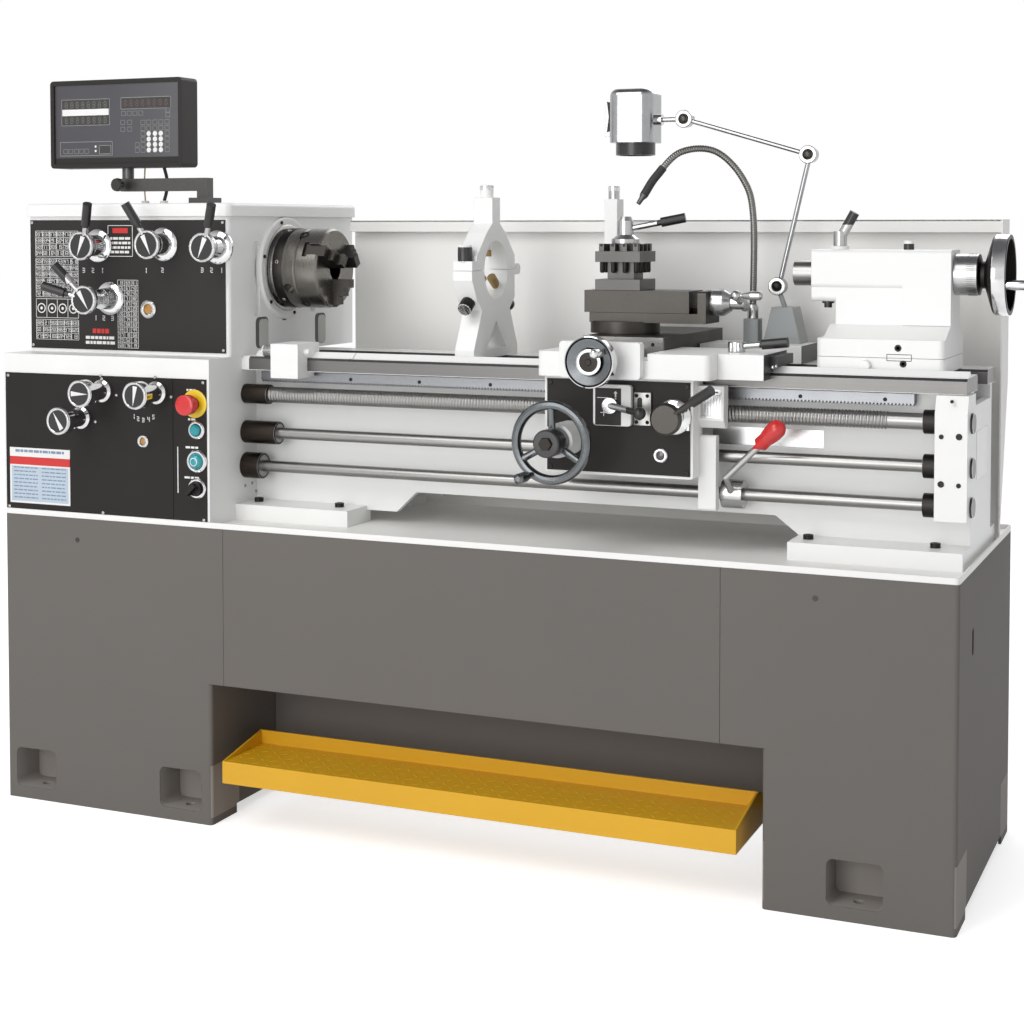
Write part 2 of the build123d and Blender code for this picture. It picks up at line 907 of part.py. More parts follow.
def gearbox_housing():
    """Casting under the headstock with a raised control plate, seams and fitting holes."""
    front = stand_front + plate_rise
    rim_top = tray_floor + tray_rim_height + seam
    housing = prism_x(stand_left, headstock_face, (
        (front, rim_top), (bed_wall_front, rim_top), (bed_wall_front, way_bottom - seam),
        (way_front - seam, way_bottom - seam), (way_front - seam, way_top), (front, way_top),
    ))
    housing += block(stand_left + sheet + seam, headstock_face, stand_front + sheet + seam, bed_wall_front,
                     tray_floor, rim_top + overrun)
    plate_top = way_top - plate_top_margin
    plate_right = headstock_face - plate_side_margin
    plate = block(stand_left + plate_side_margin, plate_right, stand_front, front + overrun, rim_top,
                  plate_top)
    strip = plate_right - control_strip_length
    plate -= block(strip, strip + panel_groove, stand_front - overrun, stand_front + plate_rise / 2,
                   tray_floor, plate_top + overrun)
    housing += plate
    lens_x, lens_z = on_gearbox(jog_x_share, lamp_lens_z_share)
    lens = turned(((0, 0), (lamp_lens_radius, 0), (lamp_lens_radius, lamp_lens_height / 2),
                   (lamp_lens_radius / 2, lamp_lens_height), (0, lamp_lens_height)))
    housing += facing_front(lens_x, stand_front, lens_z) * lens
    for x_share, z_share in zip(feed_knob_x_shares, feed_knob_z_shares):
        x, z = on_gearbox(x_share, z_share)
        housing -= fitting_hole(x, z, stand_front, knob_shaft_radius, lever_spigot + slide_gap)
    x, z = on_gearbox(estop_x_share, estop_z_share)
    housing -= fitting_hole(x, z, stand_front, estop_stem_radius, button_spigot + estop_travel + slide_gap)
    x, z = on_gearbox(jog_x_share, jog_z_share)
    housing -= fitting_hole(x, z, stand_front, jog_radius, button_spigot + jog_travel + slide_gap)
    x, z = on_gearbox(jog_x_share, switch_z_share)
    housing -= fitting_hole(x, z, stand_front, knob_shaft_radius, button_spigot + slide_gap)
    for z, radius in shaft_levels():
        housing -= rod_x(headstock_face - shaft_spigot - slide_gap, headstock_face + overrun, shaft_y, z,
                         radius + running_fit)
    return housing


def shaft_levels():
    return (
        (leadscrew_z, leadscrew_radius), (feed_rod_z, feed_rod_radius), (control_rod_z, control_rod_radius),
    )


def headstock_housing():
    """Main casting with the spindle bore, fluted right face and gear cover at its left end."""
    housing = rounded_z(headstock_left, headstock_face, headstock_front, headstock_back, way_top,
                        headstock_top,
                        headstock_corner)
    m = headstock_plate_margin
    plate_front = headstock_front - plate_rise
    housing += block(headstock_left + m, headstock_face - m, plate_front, headstock_front + overrun,
                     way_top + m, headstock_top - m)
    half = flute_width / 2
    flute_bottom = headstock_top - flute_drop - flute_height
    for share in flute_y_shares:
        y = share * (headstock_back - headstock_front) / 2
        housing -= rounded_x(headstock_face - flute_depth, headstock_face + overrun, y - half, y + half,
                             flute_bottom, headstock_top - flute_drop, half - seam)
    cover_left = headstock_left - end_cover_depth
    housing += rounded_x(cover_left, headstock_left + overrun, end_cover_front, end_cover_back, way_top,
                         headstock_top - end_cover_top_drop, end_cover_corner)
    housing += rounded_x(cover_left, stand_left - seam, end_cover_front, end_cover_back, end_cover_bottom,
                         headstock_top - end_cover_top_drop, end_cover_corner)
    bore = spindle_radius + running_fit
    housing -= rod_x(headstock_left, headstock_face + overrun, 0, spindle_z, bore)
    for x_share, z_share in zip(speed_lever_x_shares, speed_lever_z_shares):
        x, z = on_headstock(x_share, z_share)
        housing -= fitting_hole(x, z, plate_front, lever_shaft_radius, lever_spigot + slide_gap)
    return housing


def on_headstock(x_share, z_share):
    return headstock_left + x_share * headstock_length, way_top + z_share * headstock_height


def headstock_lid():
    o = lid_overhang
    lid = rounded_z(headstock_left - o, headstock_face + o, headstock_front - o, headstock_back + o,
                    headstock_top,
                    lid_top, headstock_corner + o)
    lid = fillet(lid.edges().group_by(Axis.Z)[-1], lid_corner)
    for x in (cable_x, wire_x):
        lid += rod_z(lid_top - overrun, lid_top + grommet_height, x, cable_y, grommet_radius)
    return lid


def spindle():
    """Hollow spindle with its nose flange."""
    left = headstock_left + headstock_corner
    shaft = rod_x(left, flange_x + overrun, 0, spindle_z, spindle_radius)
    shaft += rod_x(flange_x, chuck_x, 0, spindle_z, flange_radius)
    return shaft - rod_x(left - overrun, chuck_x + overrun, 0, spindle_z, spindle_bore)


def jaw_shape(growth, inner, outer):
    """Jaw stem of T section, from radius inner to outer, in a frame with X radial and Z out of the chuck."""
    half = jaw_width / 2 + growth
    tongue_half = jaw_tongue / 2 + growth
    floor = -jaw_slot_depth - growth
    shoulder = floor + jaw_tongue_thickness + 2 * growth
    stem = block(inner, outer, -half, half, floor, growth)
    return stem + block(inner, outer, -tongue_half, tongue_half, floor, shoulder)


def on_chuck(angle):
    """Place on the chuck face: local Z along the spindle, local X radial at the angle."""
    return Pos(chuck_face, 0, spindle_z) * Rot(0, quarter_turn, 0) * Rot(0, 0, angle)


def chuck_body():
    """Scroll chuck body with T slots, pinion sockets and a through bore."""
    e = chuck_edge
    body = turned((
        (chuck_bore, 0), (chuck_radius - e, 0), (chuck_radius, e),
        (chuck_radius, chuck_length / 2 - chuck_groove),
        (chuck_radius - chuck_groove, chuck_length / 2), (chuck_radius, chuck_length / 2 + chuck_groove),
        (chuck_radius, chuck_length - e), (chuck_radius - e, chuck_length), (chuck_bore, chuck_length),
    ))
    body = Pos(chuck_x, 0, spindle_z) * Rot(0, quarter_turn, 0) * body
    for i in range(jaw_count):
        place = on_chuck(i * third_turn)
        body -= place * jaw_shape(jaw_clearance, chuck_bore / 2, chuck_radius + overrun)
        socket_place = on_chuck((i + 1 / 2) * third_turn)
        socket_z = -chuck_length / 2 - jaw_slot_depth / 2
        body -= socket_place * bar((chuck_radius - pinion_depth, 0, socket_z),
                                   (chuck_radius + overrun, 0, socket_z),
                                   pinion_radius)
    return body


def chuck_jaw(index):
    """Stepped jaw on its T-section stem."""
    length = jaw_step_count * jaw_step_length
    jaw = jaw_shape(0, jaw_inner, jaw_inner + length)
    half = jaw_width / 2
    for step in range(jaw_step_count):
        end = jaw_inner + (jaw_step_count - step) * jaw_step_length
        jaw += block(jaw_inner, end, -half, half, -jaw_clearance, (step + 1) * jaw_step_rise)
    return on_chuck(index * third_turn) * jaw


def hand_lever(standoff, reach, rise, angles):
    """Turned dial on a shaft with inclined grips, in a frame whose Z points to the operator."""
    dial = lever_dial_radius
    face = standoff + lever_dial_thickness
    lever = turned((
        (0, -lever_spigot), (lever_shaft_radius, -lever_spigot), (lever_shaft_radius, standoff / 2),
        (dial - lever_dial_bevel, standoff), (dial, standoff + lever_dial_bevel),
        (dial, face - lever_dial_bevel),
        (dial - lever_dial_bevel, face), (0, face),
    ))
    for angle in angles:
        x, y = around(angle, reach)
        start_share = lever_dial_radius / reach / 2
        start = (x * start_share, y * start_share, standoff + lever_dial_thickness / 2)
        end = (x, y, face + rise)
        lever += bar(start, end, lever_rod_radius)
        lever += grip_along(start, end)
    return lever


def grip_along(start, end):
    """Plastic grip over the last stretch of a bar."""
    path = Vector(*end) - Vector(*start)
    grip_start = Vector(*end) - path.normalized() * grip_length
    return bar(tuple(grip_start), tuple(end), grip_radius)


def speed_lever(index):
    x, z = on_headstock(speed_lever_x_shares[index], speed_lever_z_shares[index])
    standoff = lever_standoff
    if len(speed_lever_angles[index]) > 1:
        standoff += low_lever_extra_standoff
    lever = hand_lever(standoff, lever_reach, lever_rise, speed_lever_angles[index])
    return facing_front(x, headstock_front - plate_rise, z) * lever


def feed_knob(index):
    """Selector drum on a waist, with a flange next to the plate."""
    x, z = on_gearbox(feed_knob_x_shares[index], feed_knob_z_shares[index])
    face = knob_standoff + knob_thickness
    knob = turned((
        (0, -lever_spigot), (knob_shaft_radius, -lever_spigot), (knob_shaft_radius, slide_gap),
        (knob_flange_radius, slide_gap), (knob_flange_radius, knob_flange),
        (knob_waist_radius, knob_flange + lever_dial_bevel),
        (knob_waist_radius, knob_standoff - lever_dial_bevel), (knob_radius, knob_standoff),
        (knob_radius, face - lever_dial_bevel), (knob_radius - lever_dial_bevel, face), (0, face),
    ))
    return facing_front(x, stand_front, z) * knob


def estop_button():
    x, z = on_gearbox(estop_x_share, estop_z_share)
    top = estop_stem + estop_head
    button = turned((
        (0, -button_spigot), (estop_stem_radius, -button_spigot), (estop_stem_radius, estop_stem),
        (estop_radius, estop_stem), (estop_radius, estop_stem + estop_head / 2),
        (estop_radius * 2 / 3, top), (0, top),
    ))
    return facing_front(x, stand_front, z) * button


def jog_button():
    x, z = on_gearbox(jog_x_share, jog_z_share)
    button = turned((
        (0, -button_spigot), (jog_radius, -button_spigot), (jog_radius, jog_height - jog_radius / 4),
        (jog_radius * 3 / 4, jog_height), (0, jog_height),
    ))
    return facing_front(x, stand_front, z) * button


def coolant_switch():
    x, z = on_gearbox(jog_x_share, switch_z_share)
    switch = turned((
        (0, -button_spigot), (knob_shaft_radius, -button_spigot), (knob_shaft_radius, slide_gap),
        (switch_radius, slide_gap), (switch_radius, switch_height), (0, switch_height),
    ))
    half = switch_bar_thickness / 2
    switch += block(-switch_radius, switch_radius, -half, half, switch_height - overrun,
                    switch_height + switch_bar_height)
    return facing_front(x, stand_front, z) * Rot(0, 0, quarter_turn / 2) * switch


def long_shaft(z, radius, sleeve_radius, sleeve, nut):
    """Shaft from the gearbox to the end bracket, with its coupling sleeve and end nut."""
    start = headstock_face - shaft_spigot
    shaft = rod_x(start, bracket_right - slide_gap, shaft_y, z, radius)
    sleeve_start = headstock_face + slide_gap
    shaft += rod_x(sleeve_start, sleeve_start + sleeve, shaft_y, z, sleeve_radius)
    if nut:
        shaft += rod_x(bracket_left - slide_gap - end_nut, bracket_left - slide_gap, shaft_y, z,
                       end_nut_radius)
    return shaft


def leadscrew():
    return long_shaft(leadscrew_z, leadscrew_radius, leadscrew_sleeve_radius, leadscrew_sleeve, True)


def feed_rod():
    return long_shaft(feed_rod_z, feed_rod_radius, feed_sleeve_radius, feed_sleeve, True)


def control_rod():
    return long_shaft(control_rod_z, control_rod_radius, control_collar_radius, control_collar, False)


def shaft_bracket():
    """End bearing for the three shafts, with a cap over each."""
    top = way_bottom - seam
    bottom = top - bracket_height
    c = bracket_chamfer
    bracket = prism_x(bracket_left, bracket_right, (
        (bracket_front, bottom), (bed_wall_front, bottom), (bed_wall_front, top), (bracket_front + c, top),
        (bracket_front, top - 2 * c),
    ))
    for z, radius in shaft_levels():
        bracket -= rod_x(bracket_left - overrun, bracket_right + overrun, shaft_y, z, radius + running_fit)
        bracket += rod_x(bracket_right, bracket_right + bracket_cap, shaft_y, z, bracket_cap_radius)
    return bracket


def brake_treadle():
    """Folded step with a front lip, a back rib and two end arms that carry the pivot pins."""
    t = treadle_sheet
    back_y = treadle_front_y + treadle_depth
    step = prism_x(treadle_left, treadle_right, (
        (treadle_front_y, treadle_bottom), (treadle_front_y + t, treadle_bottom),
        (treadle_front_y + t, treadle_top - t), (back_y, treadle_top - t),
        (back_y, treadle_top + treadle_rib),
        (back_y - t, treadle_top + treadle_rib), (back_y - t, treadle_top), (treadle_front_y, treadle_top),
    ))
    arm_outline = (
        (treadle_front_y, treadle_bottom), (treadle_pivot_y, treadle_pivot_z - treadle_eye_radius),
        (treadle_pivot_y, treadle_pivot_z + treadle_eye_radius), (back_y, treadle_top + treadle_rib),
        (treadle_front_y, treadle_top),
    )
    for x, outwards in ((treadle_left, -1), (treadle_right - t, 1)):
        step += prism_x(x, x + t, arm_outline)
        step += rod_x(x, x + t, treadle_pivot_y, treadle_pivot_z, treadle_eye_radius)
        pin_x = x + t / 2
        pin_end = pin_x + outwards * (treadle_end_gap + t / 2 + pedestal_wall)
        step += rod_x(min(pin_x, pin_end), max(pin_x, pin_end), treadle_pivot_y, treadle_pivot_z,
                      treadle_pin_radius)
    return step


def bed_stop():
    """Clamped stop on the front way with a micrometer thimble."""
    x0 = headstock_face + stop_gap
    x1 = x0 + stop_length
    top = way_top + stop_height
    stop = prism_x(x0, x1, (
        (stop_front, way_bottom - stop_jaw), (stop_jaw_back, way_bottom - stop_jaw),
        (stop_jaw_back, way_bottom - slide_gap), (way_front - slide_gap, way_bottom - slide_gap),
        (way_front - slide_gap, way_top + slide_gap), (stop_back, way_top + slide_gap),
        (stop_back, top), (stop_front, top),
    ))
    stop -= ridge(x0 - overrun, x1 + overrun, slide_gap)
    knob_z = way_top + stop_knob_rise
    stop += rod_x(x0 - stop_knob_length, x0 + overrun, stop_knob_y, knob_z, stop_knob_radius)
    stop += rod_x(x1 - overrun, x1 + stop_knob_radius, stop_knob_y, knob_z, stop_knob_radius / 2)
    return stop


def steady_ring(points):
    """Frame of the steady rest: an outline in the cross plane with the work opening cut out."""
    x0 = steady_x - steady_thickness / 2
    frame = prism_x(x0, x0 + steady_thickness, points)
    return frame - rod_x(x0 - overrun, x0 + steady_thickness + overrun, 0, spindle_z, steady_inner)


def steady_finger(angle, out):
    """Sliding finger with its thumb nut, pointing at the work axis."""
    dy, dz = around(angle, 1)
    finger = bar((steady_x, dy * steady_finger_tip, spindle_z + dz * steady_finger_tip),
                 (steady_x, dy * out, spindle_z + dz * out), steady_finger_radius)
    thumb_end = out + steady_thumb
    return finger + bar((steady_x, dy * out, spindle_z + dz * out),
                        (steady_x, dy * thumb_end, spindle_z + dz * thumb_end), steady_knob_radius)


def steady_knuckle(x0, x1):
    return rod_x(x0, x1, steady_hinge_y, spindle_z, steady_knuckle_radius)


def steady_rest_base():
    """Lower half on the bed: foot, two legs, two fingers and the outer hinge knuckles."""
    foot_z = way_top + steady_foot_height
    parting = spindle_z - slide_gap
    base = steady_ring((
        (-steady_foot_half, way_top), (steady_foot_half, way_top), (steady_foot_half, foot_z),
        (steady_waist_half, steady_waist_z), (steady_outer, spindle_z - steady_inner),
        (steady_outer, parting), (-steady_outer - steady_lug, parting),
        (-steady_outer - steady_lug, parting - steady_lug_height), (-steady_outer, spindle_z - steady_inner),
        (-steady_waist_half, steady_waist_z), (-steady_foot_half, foot_z),
    ))
    x0 = steady_x - steady_thickness / 2
    base -= prism_x(x0 - overrun, x0 + steady_thickness + overrun, (
        (-steady_arch_half, foot_z), (steady_arch_half, foot_z), (0, steady_arch_top),
    ))
    for angle in (-steady_finger_angle, 2 * quarter_turn + steady_finger_angle):
        base += steady_finger(angle, steady_outer + steady_knob_radius)
    third = steady_thickness / 3
    x1 = x0 + steady_thickness
    gap_x0 = x0 + third
    gap_x1 = x1 - third
    base -= rod_x(gap_x0 - slide_gap, gap_x1 + slide_gap, steady_hinge_y, spindle_z,
                  steady_knuckle_radius + slide_gap)
    arm_bottom_z = spindle_z - steady_knuckle_radius
    for start, end in ((x0, gap_x0 - slide_gap), (gap_x1 + slide_gap, x1)):
        base += steady_knuckle(start, end)
        base += block(start, end, steady_outer - overrun, steady_hinge_y, arm_bottom_z, parting)
    return base + rod_x(x0, x1, steady_hinge_y, spindle_z, steady_pin_radius)


def steady_rest_cap():
    """Upper half: hinged frame with the top finger, its knob and the front lock knob."""
    parting = spindle_z + slide_gap
    shoulder = spindle_z + steady_outer
    cap = steady_ring((
        (-steady_outer - steady_lug, parting), (steady_outer, parting),
        (steady_outer, spindle_z + steady_inner / 2),
        (steady_cap_shoulder, shoulder - steady_lug_height), (steady_neck_half, shoulder),
        (steady_neck_half, steady_neck_top), (-steady_neck_half, steady_neck_top),
        (-steady_neck_half, shoulder),
        (-steady_cap_shoulder, shoulder - steady_lug_height), (-steady_outer, spindle_z + steady_inner / 2),
        (-steady_outer, parting + steady_lug_height),
        (-steady_outer - steady_lug, parting + steady_lug_height),
    ))
    cap += rod_z(spindle_z + steady_finger_tip, steady_neck_top + steady_top_knob, steady_x, 0,
                 steady_finger_radius)
    cap += rod_z(steady_neck_top, steady_neck_top + steady_top_knob, steady_x, 0, steady_knob_radius)
    lug_y = -steady_outer - steady_lug / 2
    lug_top = parting + steady_lug_height
    cap += rod_z(lug_top - overrun, lug_top + steady_knob_height, steady_x, lug_y, steady_knob_radius)
    third = steady_thickness / 3
    start = steady_x - steady_thickness / 2 + third
    end = start + third
    cap += steady_knuckle(start, end)
    cap += block(start, end, steady_outer - overrun, steady_hinge_y, parting,
                 spindle_z + steady_knuckle_radius)
    cap -= rod_x(start - overrun, end + overrun, steady_hinge_y, spindle_z, steady_pin_radius + running_fit)
    clear = steady_knuckle_radius + slide_gap
    x0 = steady_x - steady_thickness / 2
    for low, high in ((x0 - overrun, start - slide_gap), (end + slide_gap, x0 + steady_thickness + overrun)):
        cap -= rod_x(low, high, steady_hinge_y, spindle_z, clear)
    return cap


def saddle_wing(x0, x1, y0):
    """Front part of the saddle between two stations, with its lip over the front way."""
    return prism_x(x0, x1, (
        (y0, saddle_lip_bottom), (way_front - seam, saddle_lip_bottom), (way_front - seam, way_top),
        (way_front + front_way_width, way_top), (way_front + front_way_width, saddle_top), (y0, saddle_top),
    ))


def saddle():
    """H-shaped carriage casting with a guide groove, a cross dovetail and the feed screw bracket."""
    front = saddle_wing(saddle_left, saddle_step_x, saddle_front)
    front += saddle_wing(saddle_step_x, saddle_right, saddle_step_front)
    front -= ridge(saddle_left - overrun, saddle_right + overrun, slide_gap)
    back = block(saddle_left, saddle_right, saddle_back_wing_y, saddle_back, way_top, saddle_top)
    casting = fillet(front.edges().filter_by(Axis.Z).group_by(Axis.Y)[0], saddle_corner) + back
    half = cross_width / 2
    way_inner = way_front + front_way_width
    casting += block(cross_x - half, cross_x + half, way_inner - overrun, saddle_back_wing_y + overrun,
                     way_top,
                     bridge_top)
    casting += block(cross_x - half, cross_x + half, way_inner + seam, way_back - back_way_width - seam,
                     way_top - saddle_bridge_drop, way_top + overrun)
    channel = half + overrun
    casting -= block(cross_x - channel, cross_x + channel, saddle_front - overrun, saddle_back + overrun,
                     bridge_top,
                     saddle_top + overrun)
    casting += prism_y(saddle_front + feed_bracket_depth, saddle_back,
                       dovetail(cross_x, bridge_top - overrun, 0))
    bracket_half = feed_bracket_width / 2
    bracket_face = saddle_front - feed_bracket_depth
    casting += rounded_y(cross_x - bracket_half, cross_x + bracket_half, bracket_face, saddle_front,
                         saddle_lip_bottom, saddle_lip_bottom + feed_bracket_height, saddle_corner / 2)
    casting -= rod_y(bracket_face - overrun, bracket_face + feed_shaft_spigot + slide_gap, cross_x,
                     cross_axis_z,
                     feed_shaft_radius + running_fit)
    for x in (saddle_left - wiper_length, saddle_right):
        casting += block(x, x + wiper_length, way_front - seam, way_front + front_way_width,
                         way_top + ridge_height + slide_gap, saddle_top - way_chamfer)
    casting -= rod_z(saddle_top - carriage_lock_height, saddle_top + overrun, carriage_lock_x,
                     carriage_lock_y,
                     lock_post_radius + running_fit)
    return casting


def dovetail(x, z, growth):
    """Outline in (x, z) of a dovetail that stands on z."""
    bottom = dovetail_half + growth
    top = bottom + dovetail_flare
    high = z + overrun + dovetail_height + growth
    return ((x - bottom, z), (x + bottom, z), (x + top, high), (x - top, high))


def small_dovetail(y, z, growth):
    """Outline in (y, z) of the compound's dovetail."""
    bottom = small_dovetail_half + growth
    top = bottom + small_dovetail_flare
    high = z + overrun + small_dovetail_height + growth
    return ((y - bottom, z), (y + bottom, z), (y + top, high), (y - top, high))


def cross_slide():
    half = cross_width / 2
    low = bridge_top + slide_gap
    slide = block(cross_x - half, cross_x + half, cross_front, cross_front + cross_length, low, cross_top)
    groove = prism_y(cross_front - overrun, cross_front + cross_length + overrun,
                     dovetail(cross_x, bridge_top - overrun, slide_gap))
    return slide - groove


def compound_base():
    """Swivel disc, lower slide with its dovetail, and the end plate for the feed screw."""
    disc_z = cross_top + slide_gap
    base = rod_z(disc_z, swivel_top + overrun, compound_x, compound_y, swivel_radius)
    half = compound_width / 2
    base += block(compound_left, compound_right, compound_y - half, compound_y + half, swivel_top,
                  compound_top)
    plate_left = compound_right - compound_end_plate
    base += prism_x(compound_left, compound_right, small_dovetail(compound_y, compound_top - overrun, 0))
    base += rounded_x(plate_left, compound_right, compound_y - half, compound_y + half, swivel_top,
                      top_slide_top,
                      saddle_corner / 2)
    bore_end = compound_right - feed_shaft_spigot - slide_gap
    return base - rod_x(bore_end, compound_right + overrun, compound_y, compound_axis_z,
                        feed_shaft_radius + running_fit)


def top_slide():
    half = compound_width / 2
    low = compound_top + slide_gap
    slide = block(top_slide_left, top_slide_right, compound_y - half, compound_y + half, low, top_slide_top)
    groove = prism_x(top_slide_left - overrun, top_slide_right + overrun,
                     small_dovetail(compound_y, compound_top - overrun, slide_gap))
    stud = rod_z(top_slide_top - overrun, post_seat_top, compound_x, compound_y, post_stud_radius)
    return slide - groove + stud


def tool_post():
    """Square four-way post with a waist, a seat for the clamp nut and rows of set screws in its top plate."""
    half = post_width / 2
    neck = post_neck / 2
    low = top_slide_top + slide_gap
    x, y = compound_x, compound_y
    neck_top = low + post_plate + post_neck_height
    post = block(x - half, x + half, y - half, y + half, low, low + post_plate)
    post += block(x - neck, x + neck, y - neck, y + neck, low + post_plate, neck_top)
    post += block(x - half, x + half, y - half, y + half, neck_top, post_top)
    post += rod_z(post_top - overrun, post_seat_top, x, y, nut_radius)
    edge = half - 2 * post_screw_radius
    for share in post_screw_shares:
        for dx, dy in ((share * post_width, -edge), (share * post_width, edge)):
            post += post_screw(x + dx, y + dy)
    return post - rod_z(low - overrun, post_seat_top + overrun, x, y, post_stud_radius + running_fit)


def post_screw(x, y):
    """Square-headed set screw."""
    r = post_screw_radius
    return block(x - r, x + r, y - r, y + r, post_top - overrun, post_seat_top)


def tool_post_lever():
    """Conical clamp nut with its lever and grip."""
    low = post_seat_top + slide_gap
    nut = turned((
        (0, 0), (nut_radius, 0), (nut_radius, nut_collar), (nut_top_radius, nut_collar * 2),
        (nut_top_radius, nut_height - nut_collar), (nut_top_radius - nut_collar / 2, nut_height),
        (0, nut_height),
    ))
    lever = Pos(compound_x, compound_y, low) * nut
    z = low + nut_height - post_lever_drop
    dx, dy = around(post_lever_angle, post_lever_reach + post_lever_grip)
    start = (compound_x, compound_y, z)
    end = (compound_x + dx, compound_y + dy, z + post_lever_rise)
    return lever + bar(start, end, lever_rod_radius) + grip_along(start, end)


def graduated_dial(radius, length, spigot):
    """Shaft spigot with a graduated collar, in a frame whose Z points to the operator."""
    return turned((
        (0, -spigot), (feed_shaft_radius, -spigot), (feed_shaft_radius, slide_gap), (radius, slide_gap),
        (radius, length * 2 / 3), (radius * 2 / 3, length), (0, length),
    ))


def cross_handwheel():
    """Solid disc handwheel behind a graduated collar."""
    r = cross_wheel_radius
    e = cross_wheel_edge
    z0 = dial_length - e
    z1 = z0 + cross_wheel_thickness
    wheel = graduated_dial(dial_radius, dial_length, feed_shaft_spigot)
    wheel += turned((
        (0, z0), (r - e, z0), (r, z0 + e), (r, z1 - e), (r - e, z1), (r / 2, z1 - e), (0, z1 - e),
    ))
    hx, hy = around(cross_handle_angle, r * cross_handle_share)
    wheel += Pos(hx, hy, z1 - e) * handle(cross_handle_radius, cross_handle_length)
    return facing_front(cross_x, saddle_front - feed_bracket_depth, cross_axis_z) * wheel


def handle(radius, length):
    """Barrel-shaped turning handle that stands on its own Z."""
    neck = radius / 2
    return turned((
        (0, -radius), (neck, -radius), (neck, radius / 2), (radius, length / 2),
        (radius, length - radius / 2),
        (neck, length), (0, length),
    ))


def rim_ring(radius, z):
    """Ring of many-sided section around the tube centre."""
    section = []
    for i in range(wheel_rim_sides):
        dr, dz = around((i + 1 / 2) * full_turn / wheel_rim_sides, wheel_rim)
        section.append((radius + dr, z + dz))
    return turned(section)


def spoked_wheel(radius, hub_start):
    """Dished rim on three spokes, in a frame whose Z points away from its shaft."""
    rim_z = hub_start + wheel_hub - wheel_rim
    wheel = rim_ring(radius - wheel_rim, rim_z)
    wheel += rod_z(hub_start, hub_start + wheel_hub, 0, 0, wheel_hub_radius)
    for angle in wheel_spoke_angles:
        x, y = around(angle, radius - wheel_rim)
        wheel += bar((0, 0, hub_start + wheel_hub - wheel_dish), (x, y, rim_z), wheel_spoke_radius)
    return wheel


def apron_handwheel():
    spindle_end = apron_boss + slide_gap
    wheel = spoked_wheel(wheel_radius, spindle_end)
    wheel += rod_z(-feed_shaft_spigot, spindle_end + wheel_hub, 0, 0, feed_shaft_radius)
    x, y = around(wheel_handle_angle, wheel_radius - wheel_rim)
    wheel += Pos(x, y, spindle_end + wheel_hub) * handle(wheel_handle_radius, wheel_handle)
    return facing_front(apron_wheel_x, apron_front - plate_rise, apron_wheel_z) * wheel


def compound_handle():
    """Graduated collar and ball crank at the end of the compound."""
    crank = graduated_dial(crank_dial_radius, crank_dial, feed_shaft_spigot)
    z1 = crank_dial + crank_hub
    crank += rod_z(crank_dial - overrun, z1, 0, 0, crank_hub_radius)
    x, y = around(crank_angle, crank_radius)
    middle = z1 - crank_hub_radius / 2
    crank += bar((-x / 2, -y / 2, middle), (x, y, middle), crank_bar_radius)
    crank += Pos(-x / 2, -y / 2, middle) * Sphere(crank_hub_radius * 3 / 4)
    crank += Pos(x, y, middle) * Sphere(crank_hub_radius * 3 / 4)
    crank += Pos(x, y, middle + crank_bar_radius) * handle(crank_handle_radius, crank_handle)
    return Pos(compound_right, compound_y, compound_axis_z) * Rot(0, quarter_turn, 0) * crank


def apron():
    """Gear case in front of the shafts, with a handwheel boss, a feed gate and a lever bracket."""
    bottom = apron_top - apron_height
    case = rounded_y(apron_left, apron_right, apron_front, apron_back, bottom, way_bottom - seam,
                     saddle_corner / 2)
    case += block(apron_left, apron_right, apron_front, apron_back, way_bottom - saddle_corner, apron_top)
    plate_front = apron_front - plate_rise
    m = plate_side_margin
    case += block(apron_left + m, apron_right - m, plate_front, apron_front + overrun, bottom + m,
                  apron_top - m)
    gate_top = apron_top - gate_drop
    case += rounded_y(gate_left, gate_left + gate_width, plate_front - gate_depth, plate_front + overrun,
                      gate_top - gate_height, gate_top, saddle_corner / 2)
    case += rod_y(plate_front - apron_boss, plate_front + overrun, apron_wheel_x, apron_wheel_z,
                  apron_boss_radius)
    case += chart_box()
    case += rounded_x(apron_right - overrun, apron_right + lever_bracket_length,
                      apron_back - lever_bracket_thickness, apron_back, lever_bracket_bottom,
                      lever_bracket_bottom + lever_bracket_height, saddle_corner / 2)
    boss_face = plate_front - apron_boss
    case -= rod_y(boss_face - overrun, plate_front + feed_shaft_spigot + slide_gap, apron_wheel_x,
                  apron_wheel_z, feed_shaft_radius + running_fit)
    case -= fitting_hole(half_nut_x, half_nut_z, plate_front, lever_shaft_radius, lever_spigot + slide_gap)
    gate_face = plate_front - gate_depth
    case -= fitting_hole(feed_lever_x, feed_lever_z, gate_face, feed_lever_rod_radius, feed_lever_boss)
    return case


def chart_box():
    """Slanted box on the apron's right flank that carries the thread chart."""
    top = apron_top - chart_box_drop
    bottom = top - chart_box_height
    return prism_x(apron_right - overrun, apron_right + chart_box_length, (
        (chart_box_front, bottom + chart_box_slant), (chart_box_front + chart_box_slant, bottom),
        (apron_back, bottom), (apron_back, top), (chart_box_front, top),
    ))


def half_nut_lever():
    lever = hand_lever(half_nut_standoff, half_nut_reach, lever_rise, (half_nut_angle,))
    return facing_front(half_nut_x, apron_front - plate_rise, half_nut_z) * lever


def feed_lever():
    """Short selector lever in the feed gate."""
    face = apron_front - plate_rise - gate_depth
    x, z = feed_lever_x, feed_lever_z
    lever = rod_y(face - slide_gap, face + feed_lever_boss - slide_gap, x, z, feed_lever_rod_radius)
    lever += rod_y(face - slide_gap - feed_lever_boss, face - slide_gap, x, z, feed_lever_boss_radius)
    end = (feed_lever_end_x, feed_lever_end_y, feed_lever_end_z)
    start_y = face - slide_gap - feed_lever_boss / 2
    lever += bar((x, start_y, z), end, feed_lever_rod_radius)
    return lever + Pos(*end) * Sphere(feed_lever_ball)


